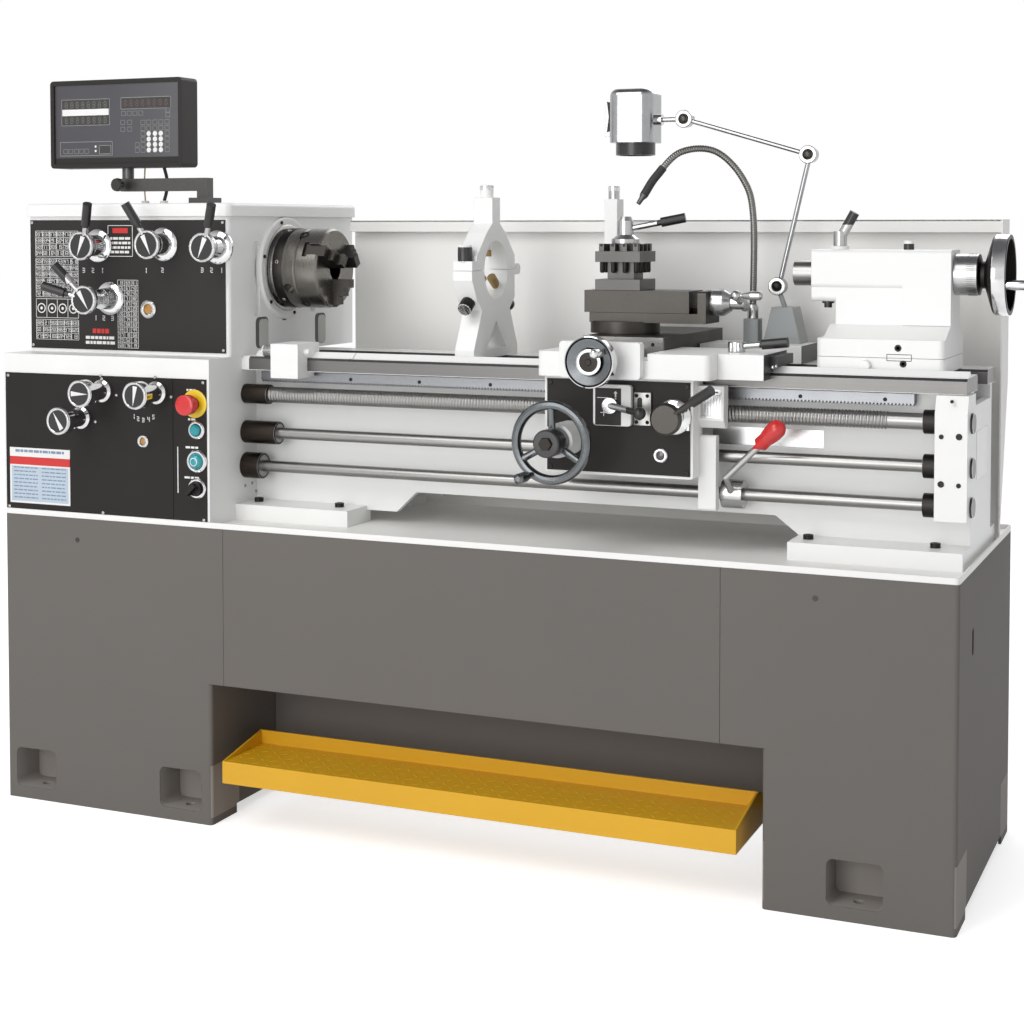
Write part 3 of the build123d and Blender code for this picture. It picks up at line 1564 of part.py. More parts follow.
def carriage_lock():
    """Clamp nut on the saddle wing with a grip lever."""
    x, y = carriage_lock_x, carriage_lock_y
    low = saddle_top + slide_gap
    lock = rod_z(saddle_top - carriage_lock_height + slide_gap, low + overrun, x, y, lock_post_radius)
    lock += rod_z(low, low + carriage_lock_height, x, y, carriage_lock_radius)
    start = (x, y, low + carriage_lock_height / 2)
    end = (x + carriage_lock_reach, y, low + carriage_lock_height / 2 + carriage_lock_rise)
    return lock + bar(start, end, lever_rod_radius) + grip_along(start, end)


def control_lever():
    """Start lever that slides on the control rod and turns with it."""
    x0 = apron_right + lever_bracket_length + slide_gap
    x1 = x0 + control_hub
    middle = (x0 + x1) / 2
    lever = rod_x(x0, x1, shaft_y, control_rod_z, control_hub_radius)
    elbow = (middle, control_elbow_y, control_elbow_z)
    lever += bar((middle, shaft_y - control_hub_radius / 2, control_rod_z), elbow, control_rod_bar_radius)
    lever += Pos(*elbow) * Sphere(control_rod_bar_radius)
    knob = Vector(control_knob_x, control_knob_y, control_knob_z)
    lever += bar(elbow, tuple(knob), control_rod_bar_radius)
    path = (knob - Vector(*elbow)).normalized()
    lever += bar(tuple(knob - path * control_knob_length / 2), tuple(knob + path * control_knob_length / 2),
                 control_knob_radius)
    return lever - rod_x(x0 - overrun, x1 + overrun, shaft_y, control_rod_z, control_rod_radius + running_fit)


def follow_rest():
    """Column on the saddle's left wing with a finger arm towards the work axis."""
    foot_top = saddle_top + follow_foot_height
    rest = prism_x(follow_left, follow_left + follow_thickness, (
        (follow_foot_front, saddle_top), (follow_foot_back, saddle_top), (follow_foot_back, foot_top),
        (follow_column_back, foot_top + follow_foot_height), (follow_column_back, follow_column_top),
        (follow_column_front, follow_column_top), (follow_column_front, spindle_z + follow_arm_half),
        (follow_arm_tip, spindle_z + follow_arm_half), (follow_arm_tip, spindle_z - follow_arm_half),
        (follow_column_front, spindle_z - follow_arm_half), (follow_column_front, foot_top),
        (follow_foot_front, foot_top),
    ))
    x = follow_left + follow_thickness / 2
    y = (follow_column_front + follow_column_back) / 2
    rest += rod_z(follow_column_top, follow_column_top + follow_knob_height, x, y, follow_knob_radius)
    return rest


def lamp_eye(y0, x, z):
    """Flat eye of one arm at a lamp joint."""
    return rod_y(y0, y0 + lamp_eye_thickness - slide_gap, x, z, lamp_eye_radius)


def lamp_pin(x, z):
    """Pin that joins a front eye to the eye behind it."""
    return rod_y(lamp_front_eye(), lamp_y + lamp_eye_thickness, x, z, lamp_pin_radius)


def lamp_front_eye():
    return lamp_y - lamp_eye_thickness


def lamp_base():
    """Tapered foot on the saddle with the first joint's eye and pin."""
    b = lamp_base_bottom_half
    t = lamp_base_top_half
    top = saddle_top + lamp_base_height
    foot = prism_y(lamp_y - lamp_base_depth_half, lamp_y + lamp_base_depth_half, (
        (lamp_base_x - b, saddle_top), (lamp_base_x + b, saddle_top), (lamp_base_x + t, top),
        (lamp_base_x - t, top),
    ))
    front = lamp_front_eye()
    middle = front + (lamp_eye_thickness - slide_gap) / 2
    arm_radius = lamp_eye_thickness / 2 - slide_gap
    foot += bar((lamp_base_x, middle, top - overrun), (lamp_pivot_x, middle, lamp_pivot_z), arm_radius)
    foot += lamp_eye(front, lamp_pivot_x, lamp_pivot_z)
    return foot + lamp_pin(lamp_pivot_x, lamp_pivot_z)


def lamp_lower_arm():
    y = lamp_y + (lamp_eye_thickness - slide_gap) / 2
    arm = bar((lamp_pivot_x, y, lamp_pivot_z), (lamp_elbow_x, y, lamp_elbow_z),
              lamp_eye_thickness / 2 - slide_gap)
    arm += lamp_eye(lamp_y, lamp_pivot_x, lamp_pivot_z)
    arm += lamp_eye(lamp_y, lamp_elbow_x, lamp_elbow_z)
    arm -= rod_y(lamp_y - overrun, lamp_y + lamp_eye_thickness + overrun, lamp_pivot_x, lamp_pivot_z,
                 lamp_pin_radius + running_fit)
    return arm + lamp_pin(lamp_elbow_x, lamp_elbow_z)


def lamp_upper_arm():
    front = lamp_front_eye()
    y = front + (lamp_eye_thickness - slide_gap) / 2
    arm = bar((lamp_elbow_x, y, lamp_elbow_z), (lamp_neck_x, y, lamp_neck_z),
              lamp_eye_thickness / 2 - slide_gap)
    arm += lamp_eye(front, lamp_elbow_x, lamp_elbow_z)
    arm += lamp_eye(front, lamp_neck_x, lamp_neck_z)
    arm -= rod_y(front - overrun, lamp_y + overrun, lamp_elbow_x, lamp_elbow_z, lamp_pin_radius + running_fit)
    return arm + lamp_pin(lamp_neck_x, lamp_neck_z)


def lamp_head():
    """Round-cornered housing with a lens ring below, a neck to the last joint and a side clip."""
    y = lamp_y + (lamp_eye_thickness - slide_gap) / 2
    x = lamp_head_x
    h = lamp_head_half
    low = lamp_neck_z - lamp_head_bottom
    ring_in = lamp_ring_radius - lamp_ring_wall
    head = rounded_z(x - h, x + h, y - h, y + h, low, lamp_neck_z + lamp_head_top, lamp_head_corner)
    head = fillet(head.edges().group_by(Axis.Z)[-1], lamp_head_edge)
    ring = turned((
        (0, lamp_ring_recess), (ring_in, lamp_ring_recess), (ring_in, 0), (lamp_ring_radius, 0),
        (lamp_ring_radius, lamp_ring_height + overrun), (0, lamp_ring_height + overrun),
    ))
    head += Pos(x, y, low - lamp_ring_height) * ring
    head += bar((lamp_head_x, y, lamp_neck_z), (lamp_neck_x, y, lamp_neck_z),
                lamp_eye_thickness / 2 - slide_gap)
    head += lamp_eye(lamp_y, lamp_neck_x, lamp_neck_z)
    clip_x = lamp_head_x - h
    half = lamp_clip_thickness / 2
    head += block(clip_x - lamp_clip_reach, clip_x - lamp_clip_reach + lamp_clip_thickness, y - half,
                  y + half,
                  lamp_neck_z - lamp_clip_height / 2, lamp_neck_z + lamp_clip_height / 2)
    head += block(clip_x - lamp_clip_reach, lamp_head_x, y - half, y + half, lamp_neck_z - half,
                  lamp_neck_z + half)
    return head - rod_y(lamp_y - overrun, lamp_y + lamp_eye_thickness + overrun, lamp_neck_x, lamp_neck_z,
                        lamp_pin_radius + running_fit)


def coolant_hose():
    """Valve block, self-holding metal gooseneck and nozzle."""
    h = hose_block_half
    x, y = hose_base_x, hose_base_y
    block_top = saddle_top + hose_block_height
    hose = rounded_z(x - h, x + h, y - h, y + h, saddle_top, block_top, h / 2)
    start = (x, y, block_top - overrun)
    route = []
    for sx, sy, sz in zip(hose_x_shares, hose_y_shares, hose_z_shares):
        route.append((x - sx * hose_reach_x, y - sy * hose_reach_y, saddle_top + sz * hose_rise))
    end = route[-1]
    path = FilletPolyline(start, *route, radius=hose_bend_radius)
    hose += sweep(Plane(origin=start, z_dir=(0, 0, 1)) * Circle(hose_radius), path)
    flow = (Vector(*end) - Vector(*route[-2])).normalized()
    tip = Vector(*end) + flow * nozzle_length
    return hose + bar(tuple(Vector(*end) - flow * overrun), tuple(tip), nozzle_radius)


def tailstock():
    """Sole, sloped base, column and flat-sided head with a relief in its face, bored for the quill."""
    low = way_top + slide_gap
    sole_top = low + tail_sole_height
    body_top = low + tail_base_height
    half = tail_head_half
    sole = rounded_z(tail_base_left, tail_right, tail_base_front, tail_base_back, low, sole_top,
                     tail_foot_corner)
    body = rounded_z(tail_base_left, tail_right, tail_base_front, tail_base_back, sole_top + seam, body_top,
                     tail_foot_corner)
    key = block(tail_base_left + tail_foot_corner, tail_right - tail_foot_corner, -half, half,
                sole_top - overrun, sole_top + seam + overrun)
    shelf = prism_x(tail_base_left + tail_foot_corner, tail_right, (
        (tail_base_front + tail_foot_corner, body_top), (tail_base_back - tail_foot_corner, body_top),
        (half, body_top + tail_shelf_rise), (-half, body_top + tail_shelf_rise),
    ))
    column = block(tail_neck_left, tail_right, -half, half, body_top, spindle_z)
    head_top = spindle_z + half
    face = half + tail_relief
    head = rounded_x(tail_left, tail_right, -half, half, spindle_z - tail_head_drop, head_top,
                     tail_head_corner)
    crown = rounded_x(tail_left, tail_right, -face, face, spindle_z - tail_ledge_drop, head_top,
                      tail_head_corner)
    crown += block(tail_relief_x, tail_right, -face, face, body_top + tail_shelf_rise, spindle_z)
    casting = sole + body + key + shelf + column + head + crown
    casting += rod_z(head_top - oiler_height, head_top + oiler_height, oiler_x, 0, oiler_radius)
    casting += rod_z(head_top - oiler_height, head_top + lock_spigot / 2, lock_post_x, 0,
                     2 * lock_post_radius)
    casting += rod_y(tail_base_front - tail_clamp, tail_base_front + overrun, tail_clamp_x,
                     low + tail_sole_height / 2, tail_clamp_radius)
    casting -= rod_x(tail_left - overrun, tail_right + overrun, 0, spindle_z, quill_radius + running_fit)
    post_low = head_top - lock_spigot / 2
    return casting - rod_z(post_low, head_top + lock_spigot, lock_post_x, 0, lock_post_radius + running_fit)


def quill():
    """Hollow sleeve with a taper socket in its nose."""
    nose = tail_left - quill_reach
    end = tail_right - quill_tail_gap
    sleeve = rod_x(nose, end, 0, spindle_z, quill_radius)
    socket = turned(((0, 0), (quill_bore, 0), (quill_tip_bore, quill_taper), (0, quill_taper)))
    return sleeve - Pos(nose, 0, spindle_z) * Rot(0, quarter_turn, 0) * socket


def tailstock_handwheel():
    """Graduated collar and dished handwheel on the quill screw."""
    hub_end = tail_dial + tail_hub
    rim_start = hub_end + tail_cone
    rim_end = rim_start + tail_rim
    wall = tail_rim_wall
    r = tail_wheel_radius
    wheel = turned((
        (0, -quill_tail_gap / 2), (quill_radius, -quill_tail_gap / 2), (quill_radius, slide_gap),
        (tail_dial_radius, slide_gap), (tail_dial_radius, tail_dial), (tail_hub_radius, tail_dial + wall / 2),
        (tail_hub_radius, hub_end), (r - wall / 2, rim_start), (r, rim_start + wall / 2), (r, rim_end),
        (r - wall, rim_end), (r - wall, rim_start + wall), (tail_hub_radius, hub_end + wall),
        (tail_hub_radius, rim_start), (0, rim_start),
    ))
    x, y = around(tail_wheel_handle_angle, r - 3 * wall / 2)
    wheel += Pos(x, y, rim_start + wall) * handle(wheel_handle_radius, tail_rim + tail_wheel_handle)
    return Pos(tail_right, 0, spindle_z) * Rot(0, quarter_turn, 0) * wheel


def quill_lock():
    """Upright clamp post with a leaning grip."""
    head_top = spindle_z + tail_head_half
    low = head_top - lock_spigot / 2 + slide_gap
    head = head_top + lock_spigot / 2 + slide_gap
    lock = rod_z(low, head + lock_post_height, lock_post_x, 0, lock_post_radius)
    lock += rod_z(head, head + lock_post_height, lock_post_x, 0, lock_post_radius + lock_post_radius / 2)
    start = (lock_post_x, 0, head + lock_post_height / 2)
    end = (lock_post_x + lock_reach_x, 0, head_top + lock_rise)
    return lock + bar(start, end, lever_rod_radius) + grip_along(start, end)


def dro_arm():
    """Post on the lid and a level arm with the pivot stud at its end."""
    half = arm_post_width / 2
    d = arm_half_depth
    arm_top = arm_bottom + arm_height
    arm = block(arm_post_x - half, arm_post_x + half, readout_y - d, readout_y + d, lid_top, arm_top)
    arm += block(arm_post_x - 2 * half, arm_post_x + 2 * half, readout_y - 2 * d, readout_y + 2 * d, lid_top,
                 lid_top + arm_plate)
    arm += rounded_z(arm_pivot_x - d, arm_post_x + half, readout_y - d, readout_y + d, arm_bottom,
                     arm_top, d / 2)
    arm += rod_z(arm_top, readout_bottom - slide_gap, arm_pivot_x, readout_y, arm_pivot_radius)
    return arm + rod_z(arm_top, readout_bottom + arm_plate, arm_pivot_x, readout_y, arm_pivot_radius / 2)


def dro_case():
    """Readout housing with a recessed face, bored for the pivot stud."""
    left = readout_left
    right = left + readout_width
    top = readout_bottom + readout_height
    front = readout_y - readout_depth / 2
    back = readout_y + readout_depth / 2
    case = rounded_y(left, right, front, back, readout_bottom, top, readout_corner)
    b = readout_bezel
    case -= block(left + b, right - b, front - overrun, front + readout_screen_recess, readout_bottom + b,
                  top - b)
    return case - rod_z(readout_bottom - overrun, readout_bottom + arm_plate + slide_gap, arm_pivot_x,
                        readout_y,
                        arm_pivot_radius / 2 + running_fit)


def readout_cables():
    """Two straight leads from the readout down to the lid's grommets."""
    low = lid_top + grommet_height
    cable = rod_z(low, readout_bottom, cable_x, cable_y, cable_radius)
    wire = rod_z(low, readout_bottom, wire_x, cable_y, wire_radius)
    return Compound([*cable.solids(), *wire.solids()])


def nodes():
    parts = {
        "left_pedestal": left_pedestal(),
        "right_pedestal": right_pedestal(),
        "front_panel": front_panel(),
        "chip_tray": chip_tray(),
        "splash_guard": splash_guard(),
        "bed": bed(),
        "rack": rack(),
        "shaft_bracket": shaft_bracket(),
        "gearbox_housing": gearbox_housing(),
        "headstock_housing": headstock_housing(),
        "headstock_lid": headstock_lid(),
        "bed_stop": bed_stop(),
        "dro_arm": dro_arm(),
        "readout_cables": readout_cables(),
        "dro_case": dro_case(),
        "steady_rest_base": steady_rest_base(),
        "steady_rest_cap": steady_rest_cap(),
        "spindle": spindle(),
        "chuck_body": chuck_body(),
        "estop_button": estop_button(),
        "jog_button": jog_button(),
        "coolant_switch": coolant_switch(),
        "leadscrew": leadscrew(),
        "feed_rod": feed_rod(),
        "control_rod": control_rod(),
        "brake_treadle": brake_treadle(),
        "saddle": saddle(),
        "apron": apron(),
        "follow_rest": follow_rest(),
        "lamp_base": lamp_base(),
        "coolant_hose": coolant_hose(),
        "cross_slide": cross_slide(),
        "compound_base": compound_base(),
        "top_slide": top_slide(),
        "tool_post": tool_post(),
        "tool_post_lever": tool_post_lever(),
        "compound_handle": compound_handle(),
        "cross_handwheel": cross_handwheel(),
        "apron_handwheel": apron_handwheel(),
        "half_nut_lever": half_nut_lever(),
        "feed_lever": feed_lever(),
        "carriage_lock": carriage_lock(),
        "control_lever": control_lever(),
        "lamp_lower_arm": lamp_lower_arm(),
        "lamp_upper_arm": lamp_upper_arm(),
        "lamp_head": lamp_head(),
        "tailstock": tailstock(),
        "quill": quill(),
        "tailstock_handwheel": tailstock_handwheel(),
        "quill_lock": quill_lock(),
    }
    for i in range(jaw_count):
        parts[f"chuck_jaw_{i + 1}"] = chuck_jaw(i)
    for i in range(len(speed_lever_x_shares)):
        parts[f"speed_lever_{i + 1}"] = speed_lever(i)
    for i in range(len(feed_knob_x_shares)):
        parts[f"feed_knob_{i + 1}"] = feed_knob(i)
    return parts


def main():
    os.makedirs("parts", exist_ok=True)
    for name, solid in nodes().items():
        export_step(solid, f"parts/{name}.step")


if __name__ == "__main__":
    main()
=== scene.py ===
# %% [markdown]
# # An engine lathe on a cabinet stand
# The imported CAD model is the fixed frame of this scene. This notebook dresses it: a finish for every
# casting and shaft, then the small things that a turner's eye looks for, such as knurled knobs, graduated
# collars, screws and ruled tables.

# %% Load the frame
import bmesh
import bpy
import numpy as np
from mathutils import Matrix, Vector


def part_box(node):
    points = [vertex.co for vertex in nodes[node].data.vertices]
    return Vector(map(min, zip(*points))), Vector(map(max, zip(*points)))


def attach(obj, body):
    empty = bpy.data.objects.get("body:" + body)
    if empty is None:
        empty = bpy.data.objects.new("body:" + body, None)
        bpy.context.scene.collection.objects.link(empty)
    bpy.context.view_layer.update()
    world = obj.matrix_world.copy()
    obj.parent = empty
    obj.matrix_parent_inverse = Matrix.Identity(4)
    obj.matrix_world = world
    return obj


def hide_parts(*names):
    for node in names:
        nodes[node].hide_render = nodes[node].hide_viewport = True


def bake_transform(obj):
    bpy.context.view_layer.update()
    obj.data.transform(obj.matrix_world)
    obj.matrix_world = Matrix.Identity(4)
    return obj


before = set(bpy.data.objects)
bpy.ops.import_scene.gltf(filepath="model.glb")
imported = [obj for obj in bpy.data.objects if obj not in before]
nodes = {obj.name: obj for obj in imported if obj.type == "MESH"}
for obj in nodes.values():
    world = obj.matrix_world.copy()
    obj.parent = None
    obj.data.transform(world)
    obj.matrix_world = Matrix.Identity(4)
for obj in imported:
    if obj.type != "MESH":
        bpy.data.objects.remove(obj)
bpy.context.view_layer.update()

# %% [markdown]
# ## Camera
# The machine is seen from in front and to the right, from about chest height. The camera is nearly level,
# because that keeps upright edges upright, so most of the way down to the stand is a shift of the lens and
# only a little is tilt.

# %% Camera
lens = bpy.data.cameras.new("photo_camera")
lens.lens = 63.78
lens.sensor_width = 36
lens.shift_x = -0.0079
lens.shift_y = -0.2002
camera = bpy.data.objects.new("photo_camera", lens)
bpy.context.scene.collection.objects.link(camera)
camera.location = (1.4785, -3.2178, 1.1476)
camera.rotation_euler = (np.radians(87.5), 0, np.radians(23.112))
bpy.context.scene.camera = camera
print("camera at", tuple(round(c, 3) for c in camera.location))

# %% [markdown]
# ## Tools for building surfaces
# Nearly everything on a lathe is turned, extruded or bent from bar, so three surfaces do almost all the
# work: a profile carried round an axis, an outline carried along one, and a circle carried along a path.
# Each is worked out as one array of points on a grid. Where a row of the grid shrinks to a single point,
# the merge that follows closes the pole.

# %% Surface tools
mm = 0.001
weld_gap = 2e-6
speck = 1e-6


def at(*place):
    """A place in millimetres, in metres."""
    return np.array(place, float) * mm


def basis(axis):
    """Two unit vectors across an axis, and the axis itself. Seen from in front, they are right and up."""
    w = np.array(axis, float) / np.linalg.norm(axis)
    ref = np.array((0, 0, 1.0)) if abs(w[2]) < 0.9 else np.array((0, 1.0, 0))
    u = np.cross(ref, w)
    u /= np.linalg.norm(u)
    return u, np.cross(w, u), w


def grid(p):
    """Quads between the neighbours of an (n, m, 3) array of points."""
    n, m = p.shape[:2]
    i = np.arange(n * m).reshape(n, m)
    quads = np.stack([i[:-1, :-1], i[:-1, 1:], i[1:, 1:], i[1:, :-1]], -1).reshape(-1, 4)
    return p.reshape(-1, 3), quads


def turned(profile, place, axis, sides=40, flutes=0, depth=0.0):
    """P(h, a) = place + r(h) (1 + depth cos(flutes a)) (u cos a + v sin a) + h w, for points (r, h) in mm."""
    u, v, w = basis(axis)
    r, h = np.array(profile, float).T * mm
    sides = max(sides, 4 * flutes)
    a = np.linspace(0, 2 * np.pi, sides + 1)
    ripple = 1 + depth * np.cos(flutes * a) if flutes else np.ones_like(a)
    ring = (np.cos(a)[:, None] * u + np.sin(a)[:, None] * v) * ripple[:, None]
    return grid(np.asarray(place) + r[:, None, None] * ring + (h[:, None] * w)[:, None, :])


def rounded(width, height, radius, steps=5):
    """Outline of a rectangle with round corners, in mm, anticlockwise from its right side."""
    a = np.linspace(0, np.pi / 2, steps + 1)
    turn = (np.arange(4)[:, None] * np.pi / 2 + a).ravel()
    cx = np.repeat(np.array((1, -1, -1, 1)) * (width / 2 - radius), steps + 1)
    cy = np.repeat(np.array((1, 1, -1, -1)) * (height / 2 - radius), steps + 1)
    return np.stack([cx + radius * np.cos(turn), cy + radius * np.sin(turn)], 1)


def slab(outline, lo, hi, place, axis, edge=0.6):
    """An outline in mm carried along an axis from lo to hi, with eased edges: four rings, two closed ends."""
    u, v, w = basis(axis)
    p = np.array(outline, float)
    p = np.vstack([p, p[:1]])
    along = np.roll(p[:-1], -1, 0) - np.roll(p[:-1], 1, 0)
    out = np.stack([along[:, 1], -along[:, 0]], 1)
    out /= np.linalg.norm(out, axis=1)[:, None] + 1e-9
    out = np.vstack([out, out[:1]])
    inner = p - out * edge
    middle = np.broadcast_to(p[:-1].mean(0), p.shape)
    rings = np.stack([middle, inner, p, p, inner, middle])
    heights = np.array((lo, lo, lo + edge, hi - edge, hi, hi))
    q = np.asarray(place) + (rings[..., :1] * u + rings[..., 1:] * v + heights[:, None, None] * w) * mm
    return grid(q)


def box(lo, hi, edge=0.6, corner=1.0):
    """A block between two corners in mm, with eased edges."""
    lo, hi = np.minimum(lo, hi).astype(float), np.maximum(lo, hi).astype(float)
    size = hi - lo
    corner = min(corner, size[0] / 2.1, size[1] / 2.1)
    edge = min(edge, size[2] / 2.1, corner * 0.9)
    middle = at((lo[0] + hi[0]) / 2, (lo[1] + hi[1]) / 2, 0)
    return slab(rounded(size[0], size[1], corner, 2), lo[2], hi[2], middle, (0, 0, 1), edge)


def tube(path, radius, sides=16):
    """P(s, a) = c(s) + r(s) (n cos a + b sin a): a circle carried along a path in mm, with closed ends."""
    c = np.array(path, float) * mm
    r = np.broadcast_to(np.array(radius, float), len(c)) * mm
    t = np.gradient(c, axis=0)
    t /= np.linalg.norm(t, axis=1)[:, None]
    ref = np.eye(3)[np.argmin(np.abs(t).sum(0))]
    n = np.cross(t, ref)
    n /= np.linalg.norm(n, axis=1)[:, None]
    b = np.cross(t, n)
    a = np.linspace(0, 2 * np.pi, sides + 1)
    ring = np.cos(a)[None, :, None] * n[:, None] + np.sin(a)[None, :, None] * b[:, None]
    p = c[:, None] + r[:, None, None] * ring
    ends = np.broadcast_to(c[[0, -1], None], (2, sides + 1, 3))
    return grid(np.concatenate([ends[:1], p, ends[1:]]))


def copies(q, faces):
    """One part from an (n, m, 3) array: n copies of m points, all with the same faces."""
    shift = np.arange(len(q))[:, None, None] * q.shape[1]
    return q.reshape(-1, 3), (faces[None] + shift).reshape(-1, faces.shape[1])


def spun(part, place, axis, count, first=0.0):
    """Copies of a part turned about an axis, evenly all round from a first angle in degrees."""
    u, v, w = basis(axis)
    verts, faces = part
    a = np.radians(first + np.linspace(0, 360, count, endpoint=False))
    d = verts - np.asarray(place)
    x, y, z = d @ u, d @ v, d @ w
    x2 = np.cos(a)[:, None] * x - np.sin(a)[:, None] * y
    y2 = np.sin(a)[:, None] * x + np.cos(a)[:, None] * y
    return copies(np.asarray(place) + x2[..., None] * u + y2[..., None] * v + (z[:, None] * w)[None], faces)


def shifted(part, offsets):
    """Copies of a part moved by each of the offsets in mm."""
    verts, faces = part
    return copies(verts[None] + (np.array(offsets, float) * mm)[:, None], faces)


made = {}


def piece(name, parts, finish, body="base", smooth=38):
    """One object from several closed surfaces: doubles merged, normals turned out, sharp edges kept sharp.
    With no body, it is left unattached."""
    starts = np.cumsum([0] + [len(v) for v, f in parts])
    verts = np.vstack([v for v, f in parts])
    faces = np.vstack([f + s for (v, f), s in zip(parts, starts)])
    mesh = bpy.data.meshes.new(name)
    mesh.from_pydata(verts.tolist(), [], faces.tolist())
    b = bmesh.new()
    b.from_mesh(mesh)
    bmesh.ops.remove_doubles(b, verts=b.verts, dist=weld_gap)
    bmesh.ops.dissolve_degenerate(b, dist=speck, edges=b.edges)
    bmesh.ops.recalc_face_normals(b, faces=b.faces)
    b.to_mesh(mesh)
    b.free()
    mesh.polygons.foreach_set("use_smooth", np.ones(len(mesh.polygons), bool))
    mesh.set_sharp_from_angle(angle=np.radians(smooth))
    mesh.materials.append(finish)
    obj = bpy.data.objects.new(name, mesh)
    bpy.context.scene.collection.objects.link(obj)
    if body:
        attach(obj, body)
    made[name] = len(mesh.polygons)
    return obj


def turned_piece(name, finish, body, profile, place, axis, *shape):
    """A piece that is a single turned surface; shape is its sides, and its flutes and their depth."""
    return piece(name, [turned(profile, place, axis, *shape)], finish, body)


print("surface tools ready")

# %% [markdown]
# ## Finishes
# A painted casting is never one flat colour: the paint has a faint orange peel, its tone drifts a little
# over a large face, and edges catch the light because they are slightly round, with their colour also
# lightened there as a painted highlight. Ground and turned steel show fine parallel lines, and their edges
# carry the same painted highlight. These effects are node groups, so that each finish can use them at its own
# strength and scale.

# %% Shared effects
def group(name, inputs, outputs):
    """An empty shader node group. Inputs are (name, default value), and only a Normal output is a vector."""
    tree = bpy.data.node_groups.new(name, "ShaderNodeTree")
    for socket, value in inputs:
        made_socket = tree.interface.new_socket(socket, in_out="INPUT", socket_type="NodeSocketFloat")
        made_socket.default_value = value
    for socket in outputs:
        kind = "NodeSocketVector" if socket == "Normal" else "NodeSocketFloat"
        tree.interface.new_socket(socket, in_out="OUTPUT", socket_type=kind)
    return tree, tree.nodes.new("NodeGroupInput"), tree.nodes.new("NodeGroupOutput")


def node(tree, kind, links=(), **values):
    """A new node with some socket values set and some sockets linked."""
    n = tree.nodes.new(kind)
    for key, value in values.items():
        n.inputs[key].default_value = value
    for key, source in links:
        tree.links.new(source, n.inputs[key])
    return n


def link_all(tree, *pairs):
    """Link each output socket to its input socket."""
    for output, target in pairs:
        tree.links.new(output, target)


def math(tree, operation, a, b=None, clamp=False):
    """One math node; each argument is a number or an output socket."""
    n = tree.nodes.new("ShaderNodeMath")
    n.operation = operation
    n.use_clamp = clamp
    for i, value in enumerate((a, b)):
        if value is None:
            continue
        if isinstance(value, (int, float)):
            n.inputs[i].default_value = value
        else:
            tree.links.new(value, n.inputs[i])
    return n.outputs[0]


peel, peel_in, peel_out = group("orange_peel", (("Scale", 420.0), ("Drift Scale", 3.0)), ("Height", "Drift"))
place = peel.nodes.new("ShaderNodeTexCoord")
fine = node(peel, "ShaderNodeTexNoise", (("Vector", place.outputs["Object"]),
    ("Scale", peel_in.outputs["Scale"])), Detail=2.0)
slow = node(peel, "ShaderNodeTexNoise", (("Vector", place.outputs["Object"]),
    ("Scale", peel_in.outputs["Drift Scale"])), Detail=4.0)
link_all(peel, (fine.outputs["Fac"], peel_out.inputs["Height"]),
    (slow.outputs["Fac"], peel_out.inputs["Drift"]))

brush, brush_in, brush_out = group("tool_marks", (("Along X", 8.0), ("Along Y", 900.0), ("Along Z", 900.0)),
    ("Lines", "Smudge"))
place = brush.nodes.new("ShaderNodeTexCoord")
stretch = brush.nodes.new("ShaderNodeCombineXYZ")
for axis in "XYZ":
    brush.links.new(brush_in.outputs["Along " + axis], stretch.inputs[axis])
scaled = brush.nodes.new("ShaderNodeVectorMath")
scaled.operation = "MULTIPLY"
link_all(brush, (place.outputs["Object"], scaled.inputs[0]), (stretch.outputs[0], scaled.inputs[1]))
lines = node(brush, "ShaderNodeTexNoise", (("Vector", scaled.outputs[0]),), Scale=1.0, Detail=3.0)
smudge = node(brush, "ShaderNodeTexNoise", (("Vector", place.outputs["Object"]),), Scale=14.0, Detail=5.0)
link_all(brush, (lines.outputs["Fac"], brush_out.inputs["Lines"]),
    (smudge.outputs["Fac"], brush_out.inputs["Smudge"]))

rims, rims_in, rims_out = group("edge_catch", (("Width", 0.0015),), ("Normal", "Edge"))
soft = node(rims, "ShaderNodeBevel", (("Radius", rims_in.outputs["Width"]),))
soft.samples = 4
true_normal = rims.nodes.new("ShaderNodeNewGeometry")
facing = rims.nodes.new("ShaderNodeVectorMath")
facing.operation = "DOT_PRODUCT"
link_all(rims, (soft.outputs[0], facing.inputs[0]), (true_normal.outputs["Normal"], facing.inputs[1]),
    (soft.outputs[0], rims_out.inputs["Normal"]),
    (math(rims, "MULTIPLY", math(rims, "SUBTRACT", 1.0, facing.outputs["Value"]), 3.0, True),
    rims_out.inputs["Edge"]))
print("effects: orange_peel, tool_marks, edge_catch")

# %% Coats
peel_depth = 0.0006
mark_depth = 0.0003


def material(name):
    """A material with only an output and a Principled BSDF."""
    mat = bpy.data.materials.new(name)
    mat.use_nodes = True
    tree = mat.node_tree
    tree.nodes.clear()
    out = tree.nodes.new("ShaderNodeOutputMaterial")
    bsdf = tree.nodes.new("ShaderNodeBsdfPrincipled")
    tree.links.new(bsdf.outputs[0], out.inputs["Surface"])
    return mat, tree, bsdf


def use(tree, effect, **values):
    """Place a shared effect in a material with its own values."""
    n = tree.nodes.new("ShaderNodeGroup")
    n.node_tree = effect
    for key, value in values.items():
        n.inputs[key.replace("_", " ")].default_value = value
    return n


def mix(tree, factor, a, b, kind="RGBA"):
    """a where the factor is 0, b where it is 1. A colour is a tuple or an output socket."""
    n = tree.nodes.new("ShaderNodeMix")
    n.data_type = kind
    first = {"FLOAT": 2, "VECTOR": 4, "RGBA": 6}[kind]
    tree.links.new(factor, n.inputs[0])
    for socket, value in ((n.inputs[first], a), (n.inputs[first + 1], b)):
        if isinstance(value, tuple):
            socket.default_value = (*value, 1)
        elif isinstance(value, float):
            socket.default_value = value
        else:
            tree.links.new(value, socket)
    return n.outputs[first // 2 - 1]


def shade(colour, factor):
    """A colour made lighter or darker."""
    return tuple(min(1.0, c * factor) for c in colour)


